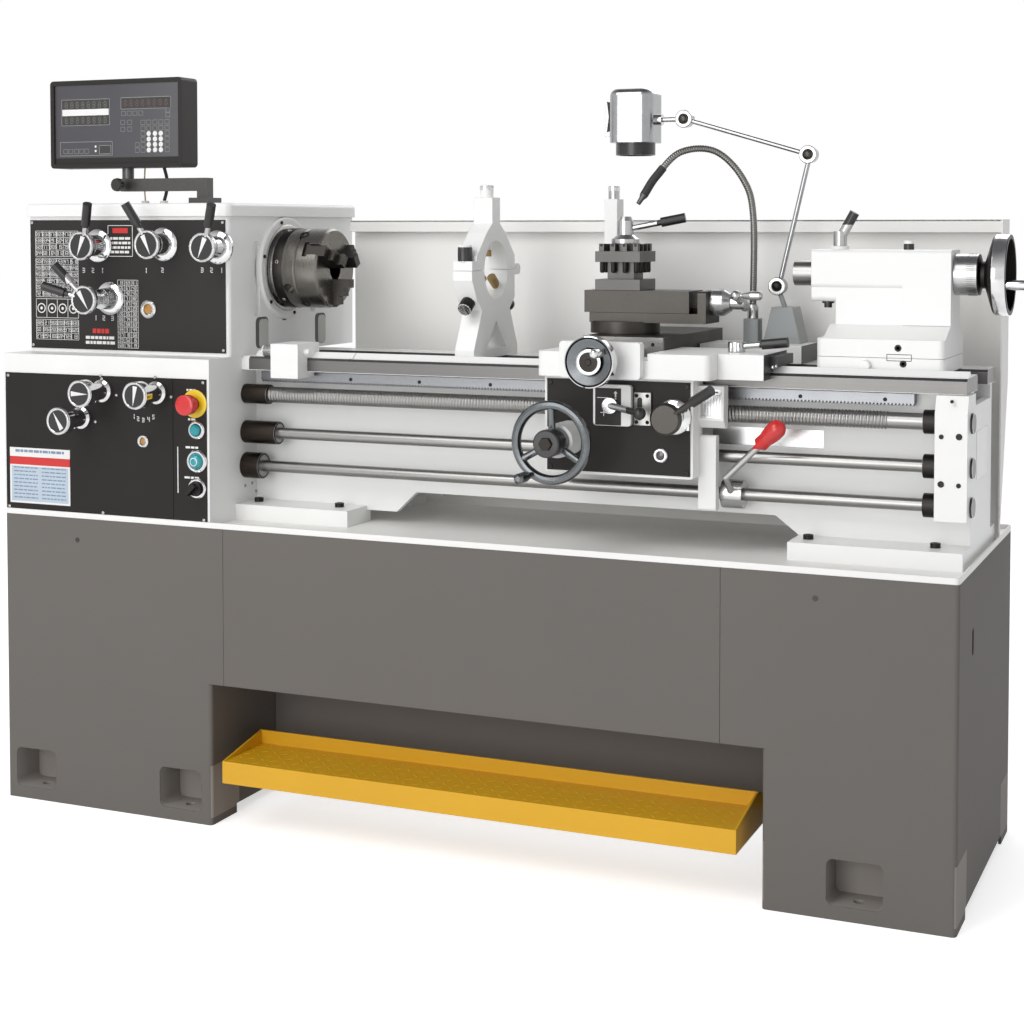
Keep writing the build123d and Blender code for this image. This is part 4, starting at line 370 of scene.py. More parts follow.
def bumped(tree, height, strength, distance, normal=None):
    """A Bump node over an optional base normal."""
    n = node(tree, "ShaderNodeBump", (("Height", height),), Strength=strength, Distance=distance)
    if normal is not None:
        tree.links.new(normal, n.inputs["Normal"])
    return n.outputs[0]


def enamel(colour, roughness=0.34, peel_strength=0.05, drift=0.06, edge=0.0016, edge_highlight=0.10):
    """Sprayed enamel over a casting or sheet."""
    def coat(tree):
        skin = use(tree, peel)
        rim = use(tree, rims, Width=edge)
        tone = mix(tree, skin.outputs["Drift"], shade(colour, 1 - drift), shade(colour, 1 + drift))
        # Painted highlight: the colour is lightened towards 1.25 times its own on rounded edges.
        tone = mix(tree, math(tree, "MULTIPLY", rim.outputs["Edge"], edge_highlight), tone, shade(colour, 1.25))
        gloss = math(tree, "ADD", math(tree, "MULTIPLY", skin.outputs["Drift"], 0.10), roughness - 0.05)
        return tone, gloss, bumped(tree, skin.outputs["Height"], peel_strength, peel_depth,
            rim.outputs["Normal"]), 0.0
    return coat


def steel(colour, roughness=0.28, along=(8.0, 900.0, 900.0), line_strength=0.08, smudge=0.12, edge=0.0008):
    """Machined steel: tool marks run along the axis whose number is small.

    With one number for all axes they have no direction.
    """
    def coat(tree):
        x, y, z = np.broadcast_to(along, 3).tolist()
        marks = use(tree, brush, Along_X=x, Along_Y=y, Along_Z=z)
        rim = use(tree, rims, Width=edge)
        tone = mix(tree, marks.outputs["Lines"], shade(colour, 0.86), shade(colour, 1.12))
        # Painted highlight: the colour is lightened towards 1.5 times its own on rounded edges.
        tone = mix(tree, math(tree, "MULTIPLY", rim.outputs["Edge"], 0.5), tone, shade(colour, 1.5))
        fine = math(tree, "ADD", math(tree, "MULTIPLY", marks.outputs["Lines"], 0.10), roughness - 0.08)
        rough = math(tree, "ADD", math(tree, "MULTIPLY", marks.outputs["Smudge"], smudge), fine)
        return tone, rough, bumped(tree, marks.outputs["Lines"], line_strength, mark_depth,
            rim.outputs["Normal"]), 1.0
    return coat


def plastic(colour, roughness=0.4, grain=700.0, strength=0.06):
    """Moulded plastic with a fine grain."""
    def coat(tree):
        skin = use(tree, peel, Scale=grain, Drift_Scale=9.0)
        tone = mix(tree, skin.outputs["Drift"], shade(colour, 0.9), shade(colour, 1.1))
        rough = math(tree, "ADD", math(tree, "MULTIPLY", skin.outputs["Height"], 0.12), roughness - 0.06)
        return tone, rough, bumped(tree, skin.outputs["Height"], strength, mark_depth), 0.0
    return coat


def ink(colour, roughness=0.5):
    """Printing ink: plastic whose grain is too fine to see."""
    return plastic(colour, roughness, 900.0, 0.02)


print("coats: enamel, steel, plastic, ink")

# %% [markdown]
# A painted casting has machined faces that are left bright, such as the bed's ways, and a housing carries a
# black plate. On the CAD parts these are regions of one body, so one material may hold two coats. A mask on
# Object coordinates picks between their colours, roughness and normals before they reach the one shader, so
# the exporter can still read it.

# %% Finishes
def inside(tree, x=None, y=None, z=None):
    """A mask that is 1 between the given limits in mm, on Object coordinates."""
    where = tree.nodes.new("ShaderNodeTexCoord")
    split = tree.nodes.new("ShaderNodeSeparateXYZ")
    tree.links.new(where.outputs["Object"], split.inputs[0])
    result = None
    for axis, limits in (("X", x), ("Y", y), ("Z", z)):
        if limits is None:
            continue
        low = math(tree, "GREATER_THAN", split.outputs[axis], limits[0] * mm)
        high = math(tree, "LESS_THAN", split.outputs[axis], limits[1] * mm)
        both = math(tree, "MULTIPLY", low, high)
        result = both if result is None else math(tree, "MULTIPLY", result, both)
    return result


def finish(name, coat, over=None, regions=(), more=None, clear=0.0, shine=0.5):
    """A material with one coat, or a second coat inside the regions, each a dict of x, y and z limits in mm.
    A third coat and its regions may follow."""
    mat, tree, bsdf = material(name)
    tone, rough, normal, metallic = coat(tree)
    bsdf.inputs["Coat Weight"].default_value = clear
    bsdf.inputs["Specular IOR Level"].default_value = shine
    bsdf.inputs["Metallic"].default_value = metallic
    layers = [(over, regions)] if over else []
    for top, places in layers + ([more] if more else []):
        masks = [inside(tree, **region) for region in places]
        mask = masks[0]
        for other in masks[1:]:
            mask = math(tree, "MAXIMUM", mask, other)
        tone2, rough2, normal2, metallic2 = top(tree)
        tone = mix(tree, mask, tone, tone2)
        rough = mix(tree, mask, rough, rough2, "FLOAT")
        normal = mix(tree, mask, normal, normal2, "VECTOR")
        if metallic != metallic2:
            metallic = mix(tree, mask, metallic, metallic2, "FLOAT")
            tree.links.new(metallic, bsdf.inputs["Metallic"])
    link_all(tree, (tone, bsdf.inputs["Base Color"]), (rough, bsdf.inputs["Roughness"]),
        (normal, bsdf.inputs["Normal"]))
    return mat


white_coat = enamel((0.87, 0.87, 0.85))
black_coat = enamel((0.017, 0.0145, 0.013), 0.48, 0.10, 0.22, 0.0008, 0.3)
ground_coat = steel((0.30, 0.295, 0.285), 0.27, (6.0, 700.0, 700.0))
way_coat = steel((0.165, 0.16, 0.155), 0.34, (6.0, 700.0, 700.0))
# Painted reflection: the tops of the steel ways are a near-white paint, not metal, standing for the bright
# sky they mirror.
way_top_painted_reflection = enamel((0.90, 0.90, 0.88), 0.22, 0.02, 0.03)
brass_coat = steel((0.32, 0.22, 0.10), 0.34, 200.0, 0.05)
satin_coat = steel((0.47, 0.47, 0.465), 0.22, 400.0, 0.03, 0.10)
dark_coat = steel((0.074, 0.069, 0.063), 0.36, 200.0, 0.05, 0.15)
grip_coat = plastic((0.016, 0.015, 0.014), 0.32, 500.0, 0.05)
black_end = plastic((0.016, 0.015, 0.014), 0.34, 500.0, 0.05)
red_coat = plastic((0.62, 0.018, 0.018), 0.26, 600.0, 0.03)
white = finish("casting_white", white_coat)
cream = finish("sheet_white", enamel((0.88, 0.87, 0.845), 0.46, 0.03, 0.03, 0.0012, 0.1))
grey_tone = (0.168, 0.155, 0.143)
grey_coat = enamel(grey_tone, 0.46, 0.04, 0.04, 0.002, 0.25)
grey = finish("stand_grey", grey_coat, shine=0.01)
# Painted light: the anchor pockets low on each pedestal are a paler grey, 1.9 times the stand's, to take out
# the shade that falls inside them.
pedestal_painted_pocket_light = finish("pedestal_grey", grey_coat, enamel(shade(grey_tone, 1.9), 0.6, 0.04, 0.04), [
    dict(y=(-286.5, -190), z=(14, 115)), dict(y=(190, 286.5), z=(14, 115))], shine=0.01)
black = finish("panel_black", black_coat, shine=0.3)
yellow = finish("treadle_yellow", enamel((0.74, 0.40, 0.012), 0.36, 0.05, 0.08, 0.0012, 0.35))
silver = finish("lamp_silver", enamel((0.28, 0.295, 0.295), 0.30, 0.09, 0.08, 0.001, 0.3))
ground = finish("ground_steel", ground_coat)
bright = finish("turned_steel", steel((0.40, 0.395, 0.38), 0.22, (900.0, 30.0, 30.0), 0.05))
chuck_steel = finish("chuck_steel", steel((0.205, 0.195, 0.178), 0.24, (900.0, 30.0, 30.0), 0.05))
dark = finish("dark_steel", dark_coat)
oxide = finish("black_oxide", steel((0.035, 0.032, 0.030), 0.38, 300.0, 0.04, 0.15))
gun = finish("gunmetal", steel((0.100, 0.098, 0.094), 0.34, 260.0, 0.06, 0.16))
lamp_steel = finish("lamp_steel", steel((0.36, 0.365, 0.37), 0.20, 60.0, 0.02, 0.08))
chrome = finish("chrome", steel((0.66, 0.66, 0.66), 0.11, 60.0, 0.01, 0.05))
satin = finish("satin_chrome", satin_coat)
grip = finish("grip_black", grip_coat, clear=0.15)
rubber = finish("rubber_black", plastic((0.02, 0.02, 0.02), 0.6, 900.0, 0.10))
red = finish("signal_red", red_coat, clear=0.4)
amber = finish("signal_yellow", plastic((0.82, 0.58, 0.01), 0.34, 600.0, 0.03), clear=0.2)
teal = finish("button_teal", plastic((0.006, 0.29, 0.33), 0.22, 500.0, 0.02), clear=0.5)
print_white = finish("print_white", ink((0.80, 0.80, 0.78)))
print_red = finish("print_red", ink((0.60, 0.03, 0.03)))
pale_blue = finish("plate_pale_blue", ink((0.48, 0.56, 0.64), 0.4))
beige = finish("lead_beige", plastic((0.62, 0.50, 0.36), 0.5, 900.0, 0.04))
# The sides of the ways are steel; their tops carry the painted reflection.
bed_finish = finish("bed_finish", white_coat, way_coat, [
    dict(x=(-400, 2000), z=(871, 896.6))], (way_top_painted_reflection, [dict(x=(-400, 2000), z=(896.6, 915))]))
headstock_finish = finish("headstock_finish", white_coat, black_coat,
                          [dict(x=(-886, -422), y=(-216, -213.3), z=(903, 1164))], shine=0.3)
gearbox_finish = finish("gearbox_finish", white_coat, black_coat,
                        [dict(x=(-894, -420), y=(-289, -286.3), z=(586, 860))], shine=0.2)
apron_finish = finish("apron_finish", white_coat, black_coat,
    [dict(y=(-241, -238.3), z=(700, 885))], shine=0.2)
saddle_finish = finish("saddle_finish", white_coat, grip_coat, [
    dict(x=(200, 246.2), z=(880, 932)), dict(x=(647.8, 700), z=(880, 932))])
cross_finish = finish("cross_finish", dark_coat, ground_coat, [dict(y=(-170, -158))])
follow_finish = finish("follow_rest_finish", white_coat, satin_coat, [dict(z=(1203.4, 1300))])
steady_finish = finish("steady_finish", white_coat, brass_coat, [dict(y=(-39, 39), z=(1027, 1105))])
rack_finish = finish("rack_steel", steel((0.25, 0.256, 0.268), 0.32, 300.0, 0.05))
wheel_finish = finish("wheel_steel", steel((0.150, 0.158, 0.164), 0.22, 200.0, 0.04))


def black_tip(name, **region):
    """A satin lever whose grip, inside one region, is black."""
    return finish(name, satin_coat, black_end, [region])


lever_finish = black_tip("lever_finish", z=(1147, 1300))
fork_finish = black_tip("fork_lever_finish", x=(-900, -721), z=(1010, 1200))
lock_finish = black_tip("carriage_lock_finish", x=(624, 800))
clamp_finish = black_tip("clamp_lever_finish", x=(387, 600))
nut_finish = finish("half_nut_finish", dark_coat, black_end, [dict(x=(543, 700), z=(845, 950))])
start_finish = finish("start_lever_finish", satin_coat, red_coat, [dict(z=(770, 900))])
quill_finish = black_tip("quill_lock_finish", z=(1153, 1300))
gate_finish = black_tip("feed_lever_finish", x=(424, 520))
print("finishes:", len(bpy.data.materials))

# %% Finishes for the CAD parts
def dress(node_name, mat):
    """Give a CAD node one finish over all of its faces."""
    slots = nodes[node_name].data.materials
    for i in range(len(slots)):
        slots[i] = mat
    if not len(slots):
        slots.append(mat)


for mat, names in (
    (pedestal_painted_pocket_light, "left_pedestal right_pedestal"), (grey, "front_panel"),
    (cream, "chip_tray splash_guard"),
    (white, "headstock_lid bed_stop shaft_bracket tailstock"), (follow_finish, "follow_rest"),
    (steady_finish, "steady_rest_base steady_rest_cap"), (rack_finish, "rack"),
    (oxide, "coolant_hose coolant_switch"), (gun, "dro_arm"), (black, "dro_case"),
    (rubber, "readout_cables"),
    (bright, "spindle"), (chuck_steel, "chuck_body"),
    (dark, "chuck_jaw_1 chuck_jaw_2 chuck_jaw_3 compound_base top_slide"),
    (ground, "leadscrew feed_rod control_rod quill"), (yellow, "brake_treadle"), (silver, "lamp_base"),
    (gun, "tool_post"), (wheel_finish, "apron_handwheel cross_handwheel"), (nut_finish, "half_nut_lever"),
    (oxide, "tailstock_handwheel"), (satin, "compound_handle"), (clamp_finish, "tool_post_lever"),
    (lock_finish, "carriage_lock"), (gate_finish, "feed_lever"), (quill_finish, "quill_lock"),
    (start_finish, "control_lever"), (lamp_steel, "lamp_lower_arm lamp_upper_arm lamp_head"),
    (lever_finish, "speed_lever_1 speed_lever_2 speed_lever_3"), (fork_finish, "speed_lever_4"),
    (chrome, "feed_knob_1 feed_knob_2 feed_knob_3"), (red, "estop_button"), (teal, "jog_button"),
    (bed_finish, "bed"),
    (headstock_finish, "headstock_housing"), (gearbox_finish, "gearbox_housing"), (apron_finish, "apron"),
    (saddle_finish, "saddle"), (cross_finish, "cross_slide"),
):
    for name in names.split():
        dress(name, mat)
print("finishes on", len(nodes), "parts")

# %% [markdown]
# ## Control plates
# The headstock and gearbox carry black plates with printed tables. Print has no depth to speak of, so every
# mark is a plain block 0.35 mm thick: a table is rules across and down, a figure is up to seven bars, and
# fine print is a row of dashes. With one function for each, every plate on the machine is made the same
# way.

# %% Print and screws
front = np.array((0, -1.0, 0))
right = np.array((1.0, 0, 0))
up = (0, 0, 1)
print_rise = 0.35
print_sink = 0.5
plate_y = -215.0
gear_y = -288.0
headstock_side = -416
chance = np.random.default_rng(7)
block_faces = np.array(((0, 1, 3, 2), (4, 6, 7, 5), (0, 4, 5, 1), (2, 3, 7, 6), (0, 2, 6, 4), (1, 5, 7, 3)))


def rule(x0, x1, z0, z1, y, rise=print_rise):
    """A flat printed bar on a face that looks to the front: the eight corners of a block."""
    p = np.array(np.meshgrid((x0, x1), (y - rise, y + print_sink), (z0, z1), indexing="ij")).reshape(3, -1).T
    return p * mm, block_faces


def table(x0, x1, z0, z1, y, columns, rows, width=0.9):
    """Rules of a table: evenly spaced bars across and down, ends included."""
    xs = np.linspace(x0, x1, columns + 1)
    zs = np.linspace(z0, z1, rows + 1)
    down = shifted(rule(-width / 2, width / 2, z0, z1, y), np.stack([xs, 0 * xs, 0 * xs], 1))
    across = shifted(rule(x0, x1, -width / 2, width / 2, y), np.stack([0 * zs, 0 * zs, zs], 1))
    return [down, across]


def outline(x0, x1, z0, z1, y, width=1.2):
    """Four bars round a rectangle."""
    return table(x0, x1, z0, z1, y, 1, 1, width)


segments = ((-.5, .5, .92, 1.), (.38, .5, .5, 1.), (.38, .5, 0, .5), (-.5, .5, 0, .08),
            (-.5, -.38, 0, .5), (-.5, -.38, .5, 1.), (-.5, .5, .46, .54))
figures = ("012345", "12", "01346", "01236", "1256", "02356", "023456", "012", "0123456", "012356")


def number(text, x, z, height, y, pitch=0.8, bold=0.0):
    """A row of figures centred at x; each is up to seven flat bars, made thicker by bold in mm."""
    parts = []
    for i, c in enumerate(text):
        middle = x + (i - (len(text) - 1) / 2) * height * pitch
        for s in figures[int(c)]:
            left, far, low, high = np.array(segments[int(s)]) * height * np.array((0.55, 0.55, 1, 1))
            parts.append(rule(middle + left - bold, middle + far + bold, z + low - bold, z + high + bold, y))
    return parts


def filled(x0, x1, z0, z1, y, columns, rows, height, top=99):
    """A ruled table with a number in every cell."""
    parts = table(x0, x1, z0, z1, y, columns, rows, 0.8)
    wide, tall = (x1 - x0) / columns, (z1 - z0) / rows
    for i in range(columns):
        for j in range(rows):
            text = str(chance.integers(10, top))
            parts += number(text, x0 + (i + 0.5) * wide, z0 + (j + 0.5) * tall - height / 2,
                height, y, 0.8, 0.25)
    return parts


def fine_print(x0, x1, z0, z1, y, rise=print_rise):
    """A row of dashes of uneven length that stands for a line of small print."""
    parts, x = [], x0
    while x < x1 - 3:
        end = min(x + chance.uniform(4, 13), x1)
        parts.append(rule(x, end, z0, z1, y, rise))
        x = end + 2.0
    return parts


def screw(x, y, z, axis=front, radius=3.2, head=2.0):
    """A cap screw's head with a round edge and a dimple for the key."""
    r, ease, dimple = radius, 0.6, 1.2
    rim = ((0, -1), (r, -1), (r, head - ease), (r - ease, head))
    key_hole = ((r * 0.52, head), (r * 0.48, head - dimple), (0, head - dimple))
    return turned(rim + key_hole, at(x, y, z), axis, 18)


print("print: rules, tables, figures, dashes")

# %% Headstock and gearbox plates
headstock_print = filled(-872, -768, 1090, 1141, plate_y, 6, 4, 7.5, 999)
headstock_print += filled(-872, -768, 1008, 1086, plate_y, 6, 6, 7.5, 999)
headstock_print += table(-872, -768, 966, 1004, plate_y, 4, 1) + filled(-872, -768, 922, 962,
    plate_y, 6, 3, 7.5, 999)
headstock_print += filled(-673, -625, 909, 1044, plate_y, 3, 13, 6.5) + outline(-695, -637,
    1091, 1152, plate_y)
for z in (1097, 1106, 1115, 1124):
    headstock_print += fine_print(-690, -642, z, z + 5, plate_y)
for z in (915, 925):
    headstock_print += fine_print(-751, -681, z, z + 6, plate_y)
for x in (-859, -833, -807, -781):
    headstock_print.append(turned(((8, 0), (10, 0), (10, 0.4), (8, 0.4)), at(x, plate_y, 985), front, 24))
    headstock_print.append(turned(((0, 0), (3, 0), (3, 0.4), (0, 0.4)), at(x, plate_y, 985), front, 16))
lever_marks = (("3", -754, 1058), ("2", -732, 1058), ("1", -711, 1058), ("1", -607, 1059), ("2", -567, 1060),
               ("3", -475, 1061), ("2", -454, 1061), ("1", -433, 1061),
               ("1", -728, 963), ("2", -707, 963), ("3", -686, 963))
for text, x, z in lever_marks:
    headstock_print += number(text, x, z, 9, plate_y, 0.8, 0.5)
piece("headstock_tables", headstock_print, print_white)
piece("headstock_red_print", [rule(-684, -648, 1137, 1147, plate_y)] + fine_print(-734, -695, 937, 946,
    plate_y), print_red)
corners = [(x, z) for x in (-880, -428) for z in (910, 1158)]
piece("headstock_screws", [screw(x, plate_y, z) for x, z in corners], satin)

ink_blue = finish("ink_blue", ink((0.20, 0.27, 0.38)))
gear_print = [rule(-487, -485, 639, 728, gear_y), rule(-884, -738, 598, 709, gear_y)]
for text, x, z in (("1", -587, 778), ("2", -576, 774), ("3", -564, 772), ("4", -552, 774), ("5", -541, 779)):
    gear_print += number(text, x, z, 8, gear_y, 0.8, 0.5)
for x, z, half in ((-453, 836, 12), (-454, 780, 8), (-454, 726, 14), (-454, 668, 17)):
    gear_print += fine_print(x - half, x + half, z, z + 4, gear_y)
piece("gearbox_print", gear_print, print_white)
piece("gearbox_plate_body", [rule(-880, -742, 602, 672, gear_y, 0.5)], pale_blue)
piece("gearbox_plate_band", [rule(-884, -738, 675, 691, gear_y, 0.6)], print_red)
plate_ink = fine_print(-870, -752, 700, 705, gear_y, 0.7)
for z in np.arange(608, 670, 7.5):
    plate_ink += fine_print(-874, -816, z, z + 2.5, gear_y, 0.7) + fine_print(-806, -748, z,
        z + 2.5, gear_y, 0.7)
piece("gearbox_plate_ink", plate_ink, ink_blue)
corners = [(x, z) for x in (-886, -660, -428) for z in (590, 853)]
piece("gearbox_screws", [screw(x, gear_y, z, head=1.6) for x, z in corners], satin)
print("plates:", made["headstock_tables"], made["gearbox_print"], "faces")

# %% [markdown]
# ## Speed levers
# Each speed lever has a chrome hub, and a black dial face with a white pointer. Its rod and black grip are
# in the CAD part, where a mask in the finish tells them apart, so only the dial and the hub are added.

# %% Speed levers
def dial(x, z, face, radius, tip, body, name):
    """A black face, a chrome ring round it and a white pointer with its tip at an angle in degrees."""
    p = at(x, face, z)
    ring = turned(((radius - 5, -1), (radius + 0.3, -1), (radius + 0.3, 0.2), (radius - 1, 1.6),
        (radius - 3.6, 1.6), (radius - 5, 0.4)), p, front, 56)
    piece(name + "_ring", [ring], chrome, body)
    turned_piece(name + "_face", grip, body,
        ((0, 0.2), (radius - 4.8, 0.2), (radius - 4.8, 0.8), (0, 0.8)), p, front, 48)
    a = np.radians(tip)
    along, across = np.array((np.cos(a), np.sin(a))), np.array((-np.sin(a), np.cos(a)))
    shape = np.array((along * 0.80, across * 0.19 - along * 0.70, -across * 0.19 - along * 0.70)) * radius
    piece(name + "_pointer", [slab(shape, 0.7, 1.1, p, front, 0.05)], print_white, body)


speed_levers = (((-717.8, 1111.9), -275.0, 250), ((-563.1, 1115.1), -275.0, 295),
                ((-437.4, 1109.9), -275.0, 248), ((-690.2, 1007.0), -305.0, 302))
for i, ((x, z), face, tip) in enumerate(speed_levers, 1):
    body = f"speed_lever_{i}"
    dial(x, z, face, 28.0, tip, body, f"speed_dial_{i}")
    turned_piece(f"speed_hub_{i}", chrome, "base",
        ((10.5, 0), (33, 0), (33, 4), (30, 7), (22, 9), (20, 34), (10.5, 34)), at(x, plate_y, z), front, 48)
print("speed levers: 4 dials, 4 hubs")

# %% [markdown]
# The feed knobs are drums with a waist, already turned in the CAD model. They only need their black faces
# and pointers, and the small screws that hold each flange to the plate.

# %% Feed knobs
for i, (x, z, tip) in enumerate(((-655.1, 830.0, 0), (-705.2, 775.8, 121), (-528.8, 831.0, 262)), 1):
    dial(x, z, gear_y - 80.0, 26.0, tip, f"feed_knob_{i}", f"feed_dial_{i}")
    holder = screw(x, gear_y, z + 30, radius=3.0, head=1.6)
    piece(f"feed_flange_screws_{i}", [spun(holder, at(x, gear_y, z), front, 3, 15)], satin)
print("feed knobs: 3")

# %% [markdown]
# ## Buttons
# The stop button is a red mushroom over a yellow ring, the start button is teal in a chrome bezel, and
# below them sit a lamp lens and a rotary switch. Each bezel is turned with a stepped profile.

# %% Buttons
turned_piece("stop_ring", amber, "base", ((12, 0), (27, 0), (27, 1.6), (24, 3), (12, 3)),
    at(-446.8, gear_y, 812.1), front, 56)
for name, z, r in (("jog_bezel", 762.1, 11.0), ("lens_bezel", 702.1, 15.0), ("switch_bezel", 650.1, 13.0)):
    turned_piece(name, chrome, "base", ((r + 0.4, 0), (r + 7, 0), (r + 7, 3), (r + 4.5, 6), (r + 1.5, 6),
        (r + 0.4, 4.5)), at(-442, gear_y, z), front, 48)
a = np.linspace(0, np.pi / 2, 12)
dome = np.stack([15.3 * np.cos(a), 5 + 10 * np.sin(a)], 1)
turned_piece("lens_dome", teal, "base", np.vstack([[(0, 0), (15.3, 0)], dome]),
    at(-442, gear_y, 702.1), front, 40)
cap = np.stack([19.6 * np.cos(a) ** 0.6, 0.4 + 2.6 * np.sin(a)], 1)
stop_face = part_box("estop_button")[0][1]
turned_piece("stop_cap", red, "estop", np.vstack([[(0, -15.5), (19.3, -15.5)], cap]),
    np.array((-0.4468, stop_face, 0.8121)), front, 48)
print("buttons: stop, jog, lens, switch")

# %% [markdown]
# ## Oil sights and the headstock's side
# An oil sight is a chrome ring round a domed amber glass. The headstock's right side has a plug and two
# lifting pockets below the chuck. The pockets are shallow, and each is painted on the flat face: a dark shape
# is its painted shadow, and a paler grey one set to the right of it is its painted, shaded floor.

# %% Oil sights and side
oil = finish("oil_amber", plastic((0.42, 0.20, 0.03), 0.12, 400.0, 0.01), clear=0.7)
oil_dark = finish("oil_dark", plastic((0.05, 0.045, 0.04), 0.12, 400.0, 0.01), clear=0.7)


def sight(name, place, radius, glass_finish, body):
    """A chrome ring of a stepped profile round a low dome of glass."""
    r = radius
    ring = turned(((0.55 * r, 0), (r, 0), (r, 3), (0.86 * r, 5), (0.64 * r, 5), (0.55 * r, 3.6)),
        place, front, 44)
    piece(name + "_ring", [ring], chrome, body)
    turned_piece(name + "_glass", glass_finish, body,
        ((0, 0), (0.56 * r, 0), (0.56 * r, 2.2), (0.3 * r, 3.2), (0, 3.6)), place, front, 32)


sight("headstock_sight", at(-600, plate_y, 987), 18, oil, "base")
sight("gearbox_sight", at(-564, gear_y, 735), 12.5, oil, "base")
shadow = finish("pocket_shadow", enamel((0.10, 0.098, 0.09), 0.6))
pocket_floor_shade = finish("pocket_floor_shade", enamel((0.52, 0.515, 0.49), 0.5))
# Painted shade: each pocket is a flat dark shape, its painted shadow, with a paler grey shape, its painted
# shaded floor, set to its right.
for name, y0, y1, z0, z1 in (("front", -116, -68, 908, 970), ("back", 121, 166, 904, 968)):
    pocket_shadow_shape = slab(rounded(y1 - y0, z1 - z0, 11), -0.5, 0.35,
        at(headstock_side, (y0 + y1) / 2, (z0 + z1) / 2), right, 0.1)
    floor_shape = slab(rounded(y1 - y0 - 13, z1 - z0 - 5, 9), 0, 0.6,
        at(headstock_side, (y0 + y1) / 2 + 6, (z0 + z1) / 2 - 2), right, 0.1)
    piece(f"side_pocket_{name}", [pocket_shadow_shape], shadow)
    piece(f"side_pocket_{name}_floor", [floor_shape], pocket_floor_shade)
turned_piece("side_plug", dark, "base", ((0, 0), (13, 0), (13, 1.2), (11, 2), (0, 2)),
    at(headstock_side, -5, 972), right, 32)
side_places = ((-160, 640), (-134, 642), (-120, 624))
piece("side_screws", [screw(headstock_side, y, z, right, 3.4, 1.6) for y, z in side_places], satin)
print("sights: 2, pockets: 2")

# %% [markdown]
# ## Digital readout
# The readout is a dark case with a slate face. Its figures are the seven-bar figures used for the tables,
# all bars dim, as when it is switched off. Keys are small slabs with round corners, and outlines around key
# groups are four thin bars each.

# %% Readout face
case_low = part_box("dro_case")[0] / mm
face_y = case_low[1] + 3.0
read_x, read_z = case_low[0], case_low[2]


def on_case(x0, x1, z0, z1):
    """Limits on the readout's face, given from its lower left corner, in mm."""
    return read_x + x0, read_x + x1, read_z + z0, read_z + z1


def key(x, z, width, height, radius, rise=1.6):
    """A key that stands proud of the face."""
    return slab(rounded(width, height, radius, 3), -0.5, rise,
        at(read_x + x, face_y, read_z + z), front, 0.5)


slate = finish("readout_slate", plastic((0.060, 0.058, 0.066), 0.45, 900.0, 0.05))
glass = finish("readout_window", plastic((0.020, 0.020, 0.022), 0.14, 300.0, 0.01), clear=0.6)
dim_grey = finish("figure_grey", ink((0.17, 0.16, 0.125), 0.4))
dim_red = finish("figure_red", ink((0.15, 0.085, 0.065), 0.4))
line_grey = finish("outline_grey", ink((0.26, 0.26, 0.25)))
piece("readout_panel", [box((read_x + 11, face_y - 0.4, read_z + 21),
    (read_x + 311, face_y + 0.5, read_z + 171), 0.2, 3)], slate, "readout")
windows = ((28, 145, 89, 140), (175, 293, 120, 141), (121, 147, 30, 45))
piece("readout_windows", [rule(*on_case(*w), face_y, 0.9) for w in windows], glass, "readout")
lines_drawn = sum((outline(*on_case(x0 - 1, x1 + 1, z0 - 1, z1 + 1), face_y - 0.4) for x0, x1, z0,
    z1 in windows), [])
lines_drawn += outline(*on_case(23, 152, 26, 54), face_y - 0.4)
dark_keys = [(x, 110) for x in (180, 194, 208, 222)] + [(x, z) for x in (178, 195) for z in (92, 78)]
dark_keys += [(x, z) for x in (227, 241, 256, 270, 285) for z in (91, 79)]
dark_keys += [(x, z) for x in (227, 285) for z in (68, 57, 46, 35)]
dark_keys += [(x, 35) for x in (36, 49, 63, 76, 89)] + [(213, 46), (213, 35), (287, 115), (287, 105)]
for x, z in dark_keys:
    lines_drawn += outline(*on_case(x - 5, x + 5, z - 4.4, z + 4.4), face_y - 0.4, 0.8)
piece("readout_outlines", lines_drawn, line_grey, "readout")
all_bars = "88888888"
digits = sum((number(all_bars, read_x + 87, read_z + z, 12, face_y - 0.6, 1.15, 0.2) for z in (124, 92)), [])
piece("readout_figures", digits, dim_grey, "readout")
piece("readout_figures_right", number(all_bars, read_x + 234, read_z + 124, 12.5, face_y - 0.6, 1.12, 0.2),
    dim_red, "readout")
piece("readout_strip", [rule(*on_case(29, 144, 108, 121), face_y, 1.2)], print_white, "readout")
pad = [key(x, z, 10.5, 10.5, 5.2) for x in (241, 256, 270) for z in (68, 57, 46, 35)]
piece("readout_keys", pad + [key(111, z, 5, 5, 2.4) for z in (35, 44)], print_white, "readout")
arm_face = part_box("dro_arm")[0][1] / mm
turned_piece("arm_knob", grip, "base", ((0, 0), (9, 0), (9, 3), (13, 6), (13, 16), (11, 18), (0, 18)),
    at(-727, arm_face, 1235), front, 32, 16, 0.04)
print("readout: 24 figures,", len(pad), "white keys,", len(dark_keys), "outlined keys")

# %% [markdown]
# ## Chuck and headstock end
# Behind the chuck a painted ring covers the spindle's front bearing. The chuck's back plate is black, with
# bolts round it, and its rim has three key sockets. Only thin rings and bolts are added: the CAD chuck
# already has slots and steps.

